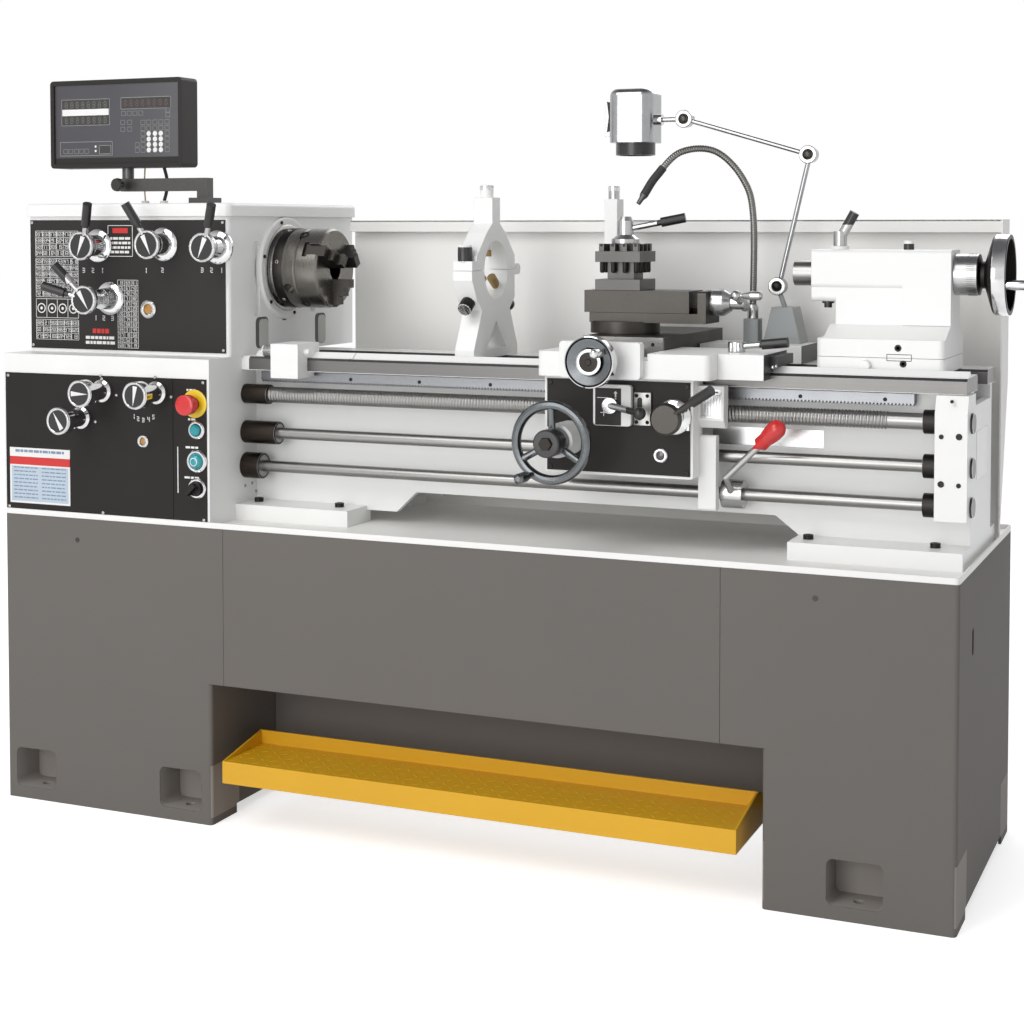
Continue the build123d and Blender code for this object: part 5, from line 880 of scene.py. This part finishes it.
# %% Chuck trim
spindle_z = 1066
spin = at(0, 0, spindle_z)
turned_piece("bearing_ring", white, "base",
    ((78.4, -6), (104, -6), (104, 3.5), (101, 6), (84, 6), (80, 4), (78.4, 4)),
    spin + at(headstock_side, 0, 0), right, 84)
turned_piece("bearing_edge", bright, "base", ((78.4, 2), (88, 2), (88, 8), (86, 9), (78.4, 9)),
    spin + at(headstock_side, 0, 0), right, 84)
ring_bolt = screw(-410, 0, spindle_z + 95, right, 3.6, 2.5)
piece("bearing_bolts", [spun(ring_bolt, spin, right, 6, 15)], oxide)
turned_piece("chuck_back_plate", oxide, "spindle_unit", ((80.1, 0), (80.7, 0.5), (80.7, 20), (80.1, 21)),
    spin + at(-399.5, 0, 0), right, 96)
rim_bolt = screw(-389, 0, spindle_z + 80.4, up, 4.2, 1.2)
piece("back_plate_bolts", [spun(rim_bolt, spin, right, 6, 20)], satin, "spindle_unit")
face_bolt = screw(-300.2, 0, spindle_z + 58, right, 5, 0.6)
piece("chuck_bolts", [spun(face_bolt, spin, right, 3, 60)], oxide, "spindle_unit")
socket = turned(((0, 0), (10, 0), (10, 1.3), (6.4, 1.3), (6.4, 0.5), (0, 0.5)),
    spin + at(-346, 0, 79.4), up, 28)
piece("chuck_sockets", [spun(socket, spin, right, 3, 152)], oxide, "spindle_unit")
print("chuck trim added")

# %% [markdown]
# ## Shafts
# The leadscrew shows its thread. A thread is a helix, so its surface is a cylinder whose radius depends on
# the phase of the angle and the length along it: r = r0 + depth * trapezoid(a - 2 pi x / pitch). The plain
# CAD shaft inside is left to carry it.

# %% Leadscrew thread
def thread(x0, x1, y, z, root, crest, pitch, sides=24, steps=8):
    """Radius along a screw: a soft trapezoid wave of phase a / 2 pi - x / pitch, between root and crest."""
    x = np.linspace(x0, x1, int((x1 - x0) / pitch * steps) + 1)
    a = np.linspace(0, 2 * np.pi, sides + 1)
    phase = (a[None] / (2 * np.pi) - x[:, None] / pitch) % 1.0
    wave = np.clip(2.2 - np.abs(phase - 0.5) * 8.0, 0, 1)
    r = root + (crest - root) * wave
    p = np.stack([np.broadcast_to(x[:, None], r.shape), y - r * np.sin(a), z + r * np.cos(a)], -1) * mm
    ends = np.broadcast_to(np.array(((x0, y, z), (x1, y, z)))[:, None] * mm, (2, sides + 1, 3))
    return grid(np.concatenate([ends[:1], p, ends[1:]]))


shaft_y = -155
shaft_levels = (822, 747, 681)
piece("leadscrew_thread", [thread(-358, 850, shaft_y, shaft_levels[0], 14.1, 15.6, 6.0)], ground,
    "leadscrew", 60)
sleeve_finish = finish("sleeve_brown", steel((0.045, 0.036, 0.030), 0.36, 300.0, 0.05))
sleeves = (("leadscrew", 19.3, 56), ("feed_rod", 22.3, 76), ("control_rod", 25.3, 40))
for z, (body, r, length) in zip(shaft_levels, sleeves):
    profile = ((r - 3, 0), (r, 0.6), (r, length - 1), (r - 2, length + 0.4), (r - 4, length + 0.4),
        (r - 4, length - 1))
    turned_piece(body + "_sleeve", sleeve_finish, body, profile, at(-415.4, shaft_y, z), right, 48)
    turned_piece(body + "_end_nut", oxide, body, ((12, 0), (20.4, 0.5), (20.4, 23), (19, 24.2), (12, 24.2)),
        at(910.8, shaft_y, z), right, 48)
piece("bracket_caps", [turned(((0, 0), (17.3, 0), (17.3, 3.4), (16, 5.2), (0, 5.2)), at(989, shaft_y, z),
    right, 36) for z in shaft_levels], grip)
bracket_bolts = ((963, 861, 3), (946, 802, 4), (975, 803, 5.4), (946, 723, 5.4), (975, 722, 4))
piece("bracket_screws", [screw(x, -195, z, radius=r, head=1.6) for x, z, r in bracket_bolts], oxide)
piece("rack_screws", [screw(x, -135, 855, radius=3.4, head=1.4) for x in np.linspace(-340, 840, 9)], oxide)
piece("foot_bolts", [screw(x, -150, 609, up, 9, 8) for x in (712, 930, -390, -210)], oxide)
piece("bed_strip", [rule(529, 730, 763, 795, -115, 0.5)], satin)
piece("bed_end_plate", [slab(rounded(120, 84, 3), -0.5, 0.6, at(983, -5, 757), right, 0.2)], satin)
print("thread faces:", made["leadscrew_thread"])

# %% [markdown]
# ## Handwheels and graduated collars
# A graduated collar is a chrome drum with fine dark ticks cut round its edge, every tenth one longer. One
# tick is a thin bar, and the copies are turned about the axis as one array operation.

# %% Collars
def collar(name, place, axis, radius, length, body, ticks=50, edge=0.25):
    """A chrome drum with dark graduation ticks on its far half."""
    u, v, w = basis(axis)
    drum = turned(((radius - 4, 0), (radius + 0.3, 0.4), (radius + 0.3, length - 0.8),
        (radius - 0.8, length), (radius - 4, length)), place, axis, 72)
    piece(name, [drum], satin, body)
    foot = place / mm + u * (radius + 0.25)
    top = foot + w * length * 0.92
    short = tube((foot + w * length * 0.55, top), edge, 4)
    long = tube((foot + w * length * 0.25, top), edge * 1.3, 4)
    piece(name + "_ticks", [spun(short, place, axis, ticks), spun(long, place, axis, ticks // 10)], oxide,
        body)


def crank_handle(start, axis, length, radius):
    """A turned handle: a thin neck that swells into a long barrel and ends in a dome."""
    h = np.linspace(0, 1, 28)
    r = radius * np.where(h < 0.9, 0.62 + 0.42 * np.sin(np.pi * np.clip(h / 0.95, 0, 1) * 0.75), 1)
    r = np.where(h > 0.86, r[24] * np.sqrt(np.clip(1 - ((h - 0.86) / 0.14) ** 2, 0, 1)), r)
    return turned(np.vstack([[(0, 0)], np.stack([r, h * length], 1), [(0, length)]]), start, axis, 28)


cross_x, cross_z = 372, 918
collar("cross_collar", at(cross_x, -275.4, cross_z), front, 27, 24, "cross_handwheel")
wheel_axis = at(cross_x, 0, cross_z)
turned_piece("cross_rim", chrome, "cross_handwheel",
    ((43, 307.6), (45.2, 308), (45.4, 318), (45.0, 327), (43, 328.2)), wheel_axis, front, 72)
turned_piece("cross_hub_ring", chrome, "cross_handwheel",
    ((17, 327.4), (22.5, 327.4), (22.5, 329.4), (20, 330.2), (17, 329.6)), wheel_axis, front, 48)
turned_piece("cross_centre", oxide, "cross_handwheel",
    ((0, 327.4), (17.2, 327.4), (17.2, 329.0), (6, 329.4), (5, 331), (0, 331)), wheel_axis, front, 40)
a = np.radians(35)
cross_grip = at(cross_x + 30.3 * np.cos(a), -327.5, cross_z + 30.3 * np.sin(a))
piece("cross_grip", [crank_handle(cross_grip, front, 46, 8.2)], chrome, "cross_handwheel")
apron_wheel = at(303, -338, 777)
turned_piece("apron_hub_cap", grip, "apron_handwheel", ((0, 0), (24.4, 0), (24.4, 12), (22, 14), (0, 14)),
    apron_wheel, front, 48)
hexagon = np.stack([np.cos(np.arange(6) * np.pi / 3), np.sin(np.arange(6) * np.pi / 3)], 1)
piece("apron_hub_bolt", [slab(12 * hexagon, 13.5, 19, apron_wheel, front, 0.8)], oxide, "apron_handwheel")
collar("compound_collar", at(498.4, -20, 1011.1), right, 24, 24, "compound_crank", 40)
apron_y = -240
half_collar = ((10.5, 0), (31, 0), (31, 3), (28, 6), (19, 8), (18, 22), (10.5, 22))
turned_piece("half_nut_collar", chrome, "carriage", half_collar, at(497, apron_y, 821), front, 48)
print("collars: 2, handles: 1")

# %% [markdown]
# ## Apron and saddle
# The apron's front is a black plate with a feed gate, a slotted plate beside it and an oil sight. The gate
# is a white box with a black face. A chart of threads hangs on the right flank, and the saddle's ends carry
# rubber wipers held by screws.

# %% Apron plates
gate_y = -252.0
slot_y = -245.5
piece("gate_face", [rule(356, 404, 803, 868, gate_y, 0.6)], black, "carriage")
arrow = np.array(((0, 9), (6, 2), (2.2, 2), (2.2, -9), (-2.2, -9), (-2.2, 2), (-6, 2)))
gate_marks = [slab(arrow * s, 0.5, 0.9, at(394, gate_y, z), front, 0.05) for s,
    z in ((0.6, 858), (-0.6, 846))]
gate_marks += [rule(360, 380, 850.4, 851.6, gate_y, 0.9), rule(366, 378, 824.4, 825.6, gate_y, 0.9),
    rule(371.4, 372.6, 819, 831, gate_y, 0.9)]
piece("gate_marks", gate_marks, print_white, "carriage")
piece("slot_plate", [box((424, slot_y, 804), (457, -239.5, 862), 0.5, 2)], ground, "carriage")
# Painted shade: the slot is a flat black stadium on the plate, standing for the shade inside it.
piece("slot_gap_shade", [slab(rounded(9, 40, 4.4), 0, 0.4, at(436, slot_y, 833), front, 0.1)], oxide, "carriage")
piece("slot_screws", [screw(x, slot_y, z, radius=3.4, head=1.2) for x in (430, 450) for z in (810, 856)],
    oxide, "carriage")
piece("apron_screws", [screw(x, apron_y, z, radius=4.5, head=2) for x in (266, 520) for z in (724, 874)],
    oxide, "carriage")
sight("apron_sight", at(473, apron_y, 753), 13, oil_dark, "carriage")
piece("apron_latch", [box((516, -244, 798), (526, -239.5, 811), 0.6, 1.5),
    box((517, -244, 822), (525, -239.5, 832), 0.6, 1.5)], satin, "carriage")
chart_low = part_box("apron")[1][0] / mm - 46
chart_face = -210.0
piece("chart_plate", [rule(chart_low + 4, chart_low + 42, 818, 868, chart_face, 0.6)], satin, "carriage")
chart_rules = table(chart_low + 7, chart_low + 39, 822, 858, chart_face - 0.5, 6, 1, 0.5)
chart_rules += fine_print(chart_low + 8, chart_low + 38, 862, 865, chart_face, 0.9)
piece("chart_rules", chart_rules, grip, "carriage")
saddle_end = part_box("saddle")[1][0] / mm
piece("wiper_screws", [screw(saddle_end, y, 909, right, 3.2, 1.6) for y in (-198, -176)], satin, "carriage")
piece("slide_screws", [screw(x, -165, 940, radius=3.4, head=1.4) for x in (312, 432)], oxide, "cross_slide")
print("apron: gate, sight, chart")

# %% [markdown]
# ## Tool post screws
# Four tool screws stand along each edge of the post, and their ends show below the top plate. The CAD post
# has the rows along its front and back, so the two side rows and all the hanging ends are added here.

# %% Tool post screws
post_x, post_y = 328, -20
post_edge = 34.0
post_pitch = 11.4
head = box((-5, -5, 1103), (5, 5, 1117.6), 0.8, 1.5)
side_places = [(post_x + s, post_y + t, 0) for s in (-post_edge, post_edge)
    for t in (-post_pitch, post_pitch)]
piece("post_side_screws", [shifted(head, side_places)], oxide, "tool_post")
caps = [(post_x + s, post_y + t, 0) for s in (-33.4, -post_pitch, post_pitch, 33.4)
    for t in (-post_edge, post_edge)]
nose = turned(((0, 0), (4.6, 0), (4.6, -17), (3.2, -20), (0, -20)), at(0, 0, 1084), up, 16)
piece("post_hanging_screws", [shifted(nose, caps + side_places)], oxide, "tool_post")
cap_head = turned(((0, 0), (5.6, 0), (5.6, 4), (4.6, 5), (0, 5)), at(0, 0, 1113), up, 16)
piece("post_screw_tops", [shifted(cap_head, caps)], oxide, "tool_post")
print("tool post screws:", len(caps) + len(side_places))

# %% [markdown]
# ## Red knob and lock nut
# The start lever ends in a red tapered knob: a turned shape that swells towards its end and is closed by a
# dome, laid along the lever's own line. The carriage lock turns on a chrome six-sided nut.

# %% Knob and nut
def knob_on(start, end, radius, length, back):
    """A tapered knob along a line: radius from 0.5 to 1 of its largest over its length, closed by a dome."""
    start, end = np.array(start, float), np.array(end, float)
    w = (end - start) / np.linalg.norm(end - start)
    h = np.linspace(0, 1, 28)
    r = radius * np.where(h < 0.7, 0.5 + 0.5 * np.sin(h / 0.7 * np.pi / 2),
        np.sqrt(np.clip(1 - ((h - 0.7) / 0.3) ** 2, 0, 1)))
    profile = np.vstack([[(0, 0)], np.stack([r, h * length], 1), [(0, length)]])
    return turned(profile, at(*(end - w * (length - back))), w, 32)


piece("start_knob", [knob_on((580, -205, 716), (658, -222, 790), 16.5, 62, 40)], red, "control_lever")
piece("carriage_nut", [slab(16 * hexagon, 0.5, 17, at(582, -150, 930), up, 1)], chrome, "carriage_lock")
print("red knob, lock nut")

# %% [markdown]
# ## Work lamp and coolant hose
# The lamp head is a chrome box with a black lens ring. Each of its three knuckles is a ring round a dark
# pin. The coolant hose is an interlocked metal gooseneck: a circle carried along a smooth curve whose
# radius ripples along its length, once for each turn of the strip it is wound from.

# %% Lamp
lamp_mid = 142.85
head_place = at(290, lamp_mid, 1313)
lens_ring = ((37.6, -0.4), (38.6, -0.8), (38.6, -23), (37.4, -24.4), (32.8, -24.4), (32.8, -12.4))
turned_piece("lamp_lens_ring", grip, "lamp_head", lens_ring, head_place, up, 56)
lens_glass = finish("lamp_lens", plastic((0.72, 0.72, 0.66), 0.18, 120.0, 0.05), clear=0.6)
turned_piece("lamp_lens", lens_glass, "lamp_head", ((0, -14), (32.9, -13), (32.9, -11.6), (0, -11.6)),
    head_place, up, 48)
wing = np.array(((-6, -30), (6, -26), (9, -8), (9, 8), (6, 26), (-6, 30), (-2, 0)))
piece("lamp_clip", [slab(wing, -7, 7, at(238, lamp_mid, 1365), front, 1)], oxide, "lamp_head")
neck_ring = ((0, -6), (11, -6), (11, 6), (0, 6))
turned_piece("lamp_neck_ring", chrome, "lamp_head", neck_ring, at(339, lamp_mid, 1357), right, 28)


def knuckle(name, x, z, node_name, body, pin_finish):
    """A ring and a domed pin on the front of a lamp joint."""
    place = np.array((x * mm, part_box(node_name)[0][1], z * mm))
    turned_piece(name + "_ring", satin, body,
        ((9, -1), (17, -1), (17, 2), (15.5, 3.4), (10.5, 3.4), (9, 2))[::-1], place, front, 40)
    turned_piece(name + "_pin", pin_finish, body,
        ((0, -1), (9.2, -1), (9.2, 2.4), (7, 5.6), (3, 7), (0, 7.2)), place, front, 32)


knuckle("shoulder", 579, 1037, "lamp_lower_arm", "lamp_lower", oxide)
knuckle("elbow", 637, 1285, "lamp_upper_arm", "lamp_upper", dark)
knuckle("neck", 393, 1357, "lamp_upper_arm", "lamp_upper", dark)
print("lamp: lens, clip, 3 knuckles")

# %% Gooseneck
knots = np.array(((534, 122, 976), (534, 122, 1165), (516, 112, 1240), (468, 90, 1292), (410, 58, 1290),
    (370, 34, 1245), (350, 20, 1209)), float)


def smooth_path(points, count):
    """A curve through points: piecewise cubic with central-difference slopes (Catmull-Rom), in even steps."""
    p = np.vstack([2 * points[0] - points[1], points, 2 * points[-1] - points[-2]])
    t = np.linspace(0, len(points) - 1 - 1e-6, count)
    i = t.astype(int)
    f = (t - i)[:, None]
    p0, p1, p2, p3 = p[i], p[i + 1], p[i + 2], p[i + 3]
    c = 0.5 * (2 * p1 + (p2 - p0) * f + (2 * p0 - 5 * p1 + 4 * p2 - p3) * f ** 2
        + (3 * p1 - p0 - 3 * p2 + p3) * f ** 3)
    s = np.concatenate([[0], np.cumsum(np.linalg.norm(np.diff(c, axis=0), axis=1))])
    even = np.linspace(0, s[-1], count)
    return np.stack([np.interp(even, s, c[:, k]) for k in range(3)], 1), s[-1]


hose_steps = 600
strip_width = 4.5
route, hose_length = smooth_path(knots, hose_steps)
ripple = 6.0 + 0.6 * np.abs(np.sin(np.linspace(0, np.pi * hose_length / strip_width, hose_steps)))
hose_finish = finish("gooseneck_steel", steel((0.20, 0.195, 0.185), 0.30, 200.0, 0.04, 0.12))
hose = piece("gooseneck", [tube(route, ripple, 18)], hose_finish, "carriage", 60)
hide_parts("coolant_hose")
piece("hose_block", [box((519, 107, 930), (549, 137, 976), 1.5, 3)], silver, "carriage")
turned_piece("hose_sleeve", satin, "carriage", ((0, 0), (10.5, 0), (10.5, 20), (8, 26), (0, 26)),
    at(*knots[0]), up, 28)
piece("hose_end_sleeve", [tube(route[525:], 8.0, 18)], rubber, "carriage")
tip = (knots[-1] - knots[-2]) / np.linalg.norm(knots[-1] - knots[-2])
turned_piece("hose_nozzle", gun, "carriage", ((0, -4), (7.6, -4), (7.6, 2), (5, 8), (4.2, 20), (0, 20)),
    at(*knots[-1]), tip, 24)
print("gooseneck", round(hose_length), "mm")

# %% [markdown]
# ## Leads behind the readout
# A black cable and a thin beige wire run from grommets in the lid up into the readout. The readout swivels,
# but the leads are attached to neither the base nor the readout.

# %% Leads
lead_y = -76
z = np.linspace(1203, 1272, 24)
bow = np.sin(np.linspace(0, np.pi, 24))
cable = np.stack([-656 + 5 * bow, lead_y + 4 * bow, z], 1)
wire = np.stack([-702 - 4 * bow, lead_y + 3 * bow, z], 1)
black_lead = piece("readout_cable", [tube(cable, 3.5, 14)], rubber, None)
beige_lead = piece("readout_wire", [tube(wire, 1.6, 10)], beige, None)
for lead in (black_lead, beige_lead):
    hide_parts("readout_cables")
    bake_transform(lead)
grommet = ((4, 0), (8, 0), (8, 3), (6, 7), (4, 7))
piece("lid_grommets", [turned(grommet, at(x, lead_y, 1196), up, 28) for x in (-656, -702)], rubber)
print("leads: 2")

# %% [markdown]
# ## Tailstock and rests
# The tailstock's handwheel is a black dish with a bright rim band and a long chrome handle, behind a
# graduated collar. The steady rest's fingers are adjusted by knurled thumb screws, which are turned shapes
# with fine flutes round them.

# %% Tailstock trim
collar("tail_collar", at(934.3, 0, spindle_z), right, 36, 41, "tail_handwheel", 60)
turned_piece("tail_rim_band", chrome, "tail_handwheel",
    ((69.6, 1004), (70.6, 1004.6), (70.6, 1026), (69.6, 1027.4)), at(0, 0, spindle_z), right, 96)
grip_radius, grip_angle = 59.5, np.radians(285)
tail_handle = at(1007, grip_radius * np.sin(grip_angle), spindle_z - grip_radius * np.cos(grip_angle))
piece("tail_grip", [crank_handle(tail_handle, right, 75, 9.2)], chrome, "tail_handwheel")
tail_y = -104
piece("tail_notch", outline(836, 878, 919, 930, tail_y, 1.0), oxide, "tailstock")
piece("tail_screws", [screw(x, tail_y, z, radius=6, head=1.2) for x, z in ((855, 941), (864, 914))],
    oxide, "tailstock")
turned_piece("tail_nut", grip, "tailstock", ((0, 0), (11, 0), (11, -4), (7, -4), (7, -12), (0, -12)),
    at(711, -12, 1017), up, 28)
turned_piece("tail_oiler", grip, "tailstock", ((0, 0), (9.2, 0), (9.2, 10), (7, 15), (4, 16.2), (0, 16.2)),
    at(852, 0, 1109), up, 28)
piece("quill_line", [rule(649, 690, spindle_z, spindle_z + 1.2, -22.4, 0.25)], print_white, "quill")
steady_x = 35
knurling = (60, 15, 0.03)
knurl = ((0, 0), (13, 0), (13.4, 2), (13.4, 24), (12.4, 26), (0, 26))
for i, angle in enumerate((-35, 215), 1):
    a = np.radians(angle)
    along = (0, np.cos(a), np.sin(a))
    place = at(steady_x, 103 * np.cos(a), spindle_z + 103 * np.sin(a))
    turned_piece(f"steady_thumb_{i}", oxide, "base", knurl, place, along, *knurling)
turned_piece("steady_lock_knob", grip, "base",
    ((0, 0), (13.2, 0), (13.6, 3), (13.6, 26), (11, 30.2), (0, 30.2)),
    at(steady_x, -101, 1084), up, *knurling)
thumb = ((0, 0), (6, 0), (6, 10), (10, 13), (13.2, 15), (13.4, 22), (12, 24.2), (0, 24.2))
turned_piece("steady_top_knob", chrome, "steady_cap", thumb, at(steady_x, 0, 1206), up, *knurling)
turned_piece("follow_knob", chrome, "carriage", np.array(thumb) * (0.85, 1.04),
    at(261, 100, 1203), up, *knurling)
guard_low, guard_high = (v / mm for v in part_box("splash_guard"))
lip_y = guard_high[1] - 25
piece("guard_hem", [box((guard_low[0], lip_y, guard_high[2] - 24),
    (guard_high[0] - 3, lip_y + 1.6, guard_high[2]), 0.4, 0.7)], cream)
turned_piece("bed_stop_knob", satin, "base", ((0, 0), (11.2, 0), (11.4, 27), (10, 30.2), (0, 30.2)),
    at(-329, -178, 909), (-1, 0, 0), *knurling)
print("tailstock and rests trimmed")

# %% [markdown]
# ## Treadle and stand
# The brake treadle is folded diamond plate. Each stud is a low lozenge, and neighbouring studs are turned a
# quarter turn. The stand's front has two small holes, each a flat black disc of painted shade.

# %% Diamond plate
def stud(x, y, z, turn):
    """A low lozenge: half an ellipsoid, laid at an angle."""
    s = np.linspace(0, np.pi / 2, 4)
    a = np.linspace(0, 2 * np.pi, 9)
    px = 9.0 * np.cos(s)[:, None] * np.cos(a)
    py = 2.6 * np.cos(s)[:, None] * np.sin(a)
    pz = 0.7 * np.sin(s)[:, None] + 0 * a
    c, d = np.cos(turn), np.sin(turn)
    return grid(np.stack([x + c * px - d * py, y + d * px + c * py, z + pz], -1) * mm)


xs, ys = np.meshgrid(np.arange(-360, 616, 24.0), np.arange(-294, -186, 24.0))
odd = ((np.arange(xs.shape[1])[None] + np.arange(xs.shape[0])[:, None]) % 2).ravel()
places = np.stack([xs.ravel(), ys.ravel(), 0 * xs.ravel()], 1)
sheet_z = 136.0
studs = [shifted(stud(0, 0, sheet_z, t), places[odd == k]) for k, t in ((0, np.pi / 4), (1, -np.pi / 4))]
piece("treadle_studs", studs, yellow, "treadle")
# Painted shade: each of the two is a thin black disc on the face, standing for the shade inside the opening.
hole_shade_disc = ((0, -0.2), (5, -0.2), (5, 0.25), (0, 0.25))
hole_places = ((-722, 532), (759, 535))
piece("stand_hole_shades", [turned(hole_shade_disc, at(x, gear_y, z), front, 24) for x, z in hole_places], grip)
print("studs:", len(places), " pieces:", len(made))

# %% [markdown]
# ## Light and floor
# A workshop catalogue picture has soft light from all round. A large lamp above and in front makes the main
# light, a low one in front reaches under the bed, a third behind lights the top edges, and a pale world
# fills the rest. The right side stays darker. Polished steel needs something darker to mirror, so the world
# fades from white at the horizon to grey overhead and below.

# %% Studio
def area_lamp(name, place, aim, size, watts):
    """A square lamp at a place, turned so that its own -Z points at the aim."""
    data = bpy.data.lights.new(name, "AREA")
    data.size = size
    data.energy = watts
    lamp = bpy.data.objects.new(name, data)
    bpy.context.scene.collection.objects.link(lamp)
    lamp.location = place
    lamp.rotation_euler = (Vector(aim) - Vector(place)).to_track_quat("-Z", "Y").to_euler()
    return lamp


def seen(tree):
    """1 for what the camera sees, straight, in a mirror or through glass, and 0 for light on a surface."""
    path = tree.nodes.new("ShaderNodeLightPath")
    rays = math(tree, "ADD", path.outputs["Is Camera Ray"], path.outputs["Is Glossy Ray"])
    return math(tree, "ADD", rays, path.outputs["Is Transmission Ray"], True)


area_lamp("key", (-1.2, -3.6, 4.2), (0, 0, 0.8), 2.6, 86)
area_lamp("front_fill", (-0.4, -5.2, 1.5), (0, 0, 0.75), 2.8, 84)
area_lamp("rim", (0.5, 3.2, 3.4), (0, 0, 1.0), 2.4, 45)

world = bpy.data.worlds.new("studio")
bpy.context.scene.world = world
world.use_nodes = True
sky = world.node_tree
sky.nodes.clear()
sky_out = sky.nodes.new("ShaderNodeOutputWorld")
sky_mix = sky.nodes.new("ShaderNodeMixShader")
sky_light = node(sky, "ShaderNodeBackground", Color=(0.82, 0.83, 0.85, 1), Strength=0.60)
sky_dir = sky.nodes.new("ShaderNodeTexCoord")
sky_split = sky.nodes.new("ShaderNodeSeparateXYZ")
sky.links.new(sky_dir.outputs["Generated"], sky_split.inputs[0])
sky_ramp = sky.nodes.new("ShaderNodeValToRGB")
sky_steps = sky_ramp.color_ramp
sky_steps.elements[0].position = 0.30
sky_steps.elements[0].color = (1, 1, 1, 1)
sky_steps.elements[1].position = 0.95
sky_steps.elements[1].color = (0.16, 0.16, 0.17, 1)
sky.links.new(math(sky, "ABSOLUTE", sky_split.outputs["Z"]), sky_ramp.inputs[0])
sky_white = node(sky, "ShaderNodeBackground", (("Color", sky_ramp.outputs[0]),), Strength=1.0)
link_all(sky, (seen(sky), sky_mix.inputs[0]), (sky_light.outputs[0], sky_mix.inputs[1]),
    (sky_white.outputs[0], sky_mix.inputs[2]), (sky_mix.outputs[0], sky_out.inputs["Surface"]))
bpy.context.scene.view_settings.view_transform = "Standard"
print("lamps: key, front fill, rim")

# %% [markdown]
# The floor is a large pale sheet. To the camera it is mostly white, as a paper sweep is, but part of what
# is seen is a diffuse surface, which keeps the machine's soft shadow under the stand.

# %% Floor
floor_mesh = bpy.data.meshes.new("studio_floor")
half = 30.0
floor_mesh.from_pydata([(-half, -half, 0), (half, -half, 0), (half, half, 0), (-half, half, 0)],
    [], [(0, 1, 2, 3)])
studio_floor = bpy.data.objects.new("studio_floor", floor_mesh)
bpy.context.scene.collection.objects.link(studio_floor)
paper = bpy.data.materials.new("studio_paper")
paper.use_nodes = True
paper_tree = paper.node_tree
paper_tree.nodes.clear()
paper_out = paper_tree.nodes.new("ShaderNodeOutputMaterial")
paper_sheet = node(paper_tree, "ShaderNodeBsdfDiffuse", Color=(0.80, 0.80, 0.80, 1))
paper_glow = node(paper_tree, "ShaderNodeEmission", Color=(1, 1, 1, 1), Strength=0.60)
paper_lit = paper_tree.nodes.new("ShaderNodeAddShader")
paper_mix = paper_tree.nodes.new("ShaderNodeMixShader")
link_all(paper_tree, (paper_sheet.outputs[0], paper_lit.inputs[0]),
    (paper_glow.outputs[0], paper_lit.inputs[1]), (seen(paper_tree), paper_mix.inputs[0]),
    (paper_sheet.outputs[0], paper_mix.inputs[1]), (paper_lit.outputs[0], paper_mix.inputs[2]),
    (paper_mix.outputs[0], paper_out.inputs["Surface"]))
floor_mesh.materials.append(paper)
print("floor", 2 * half, "m wide")
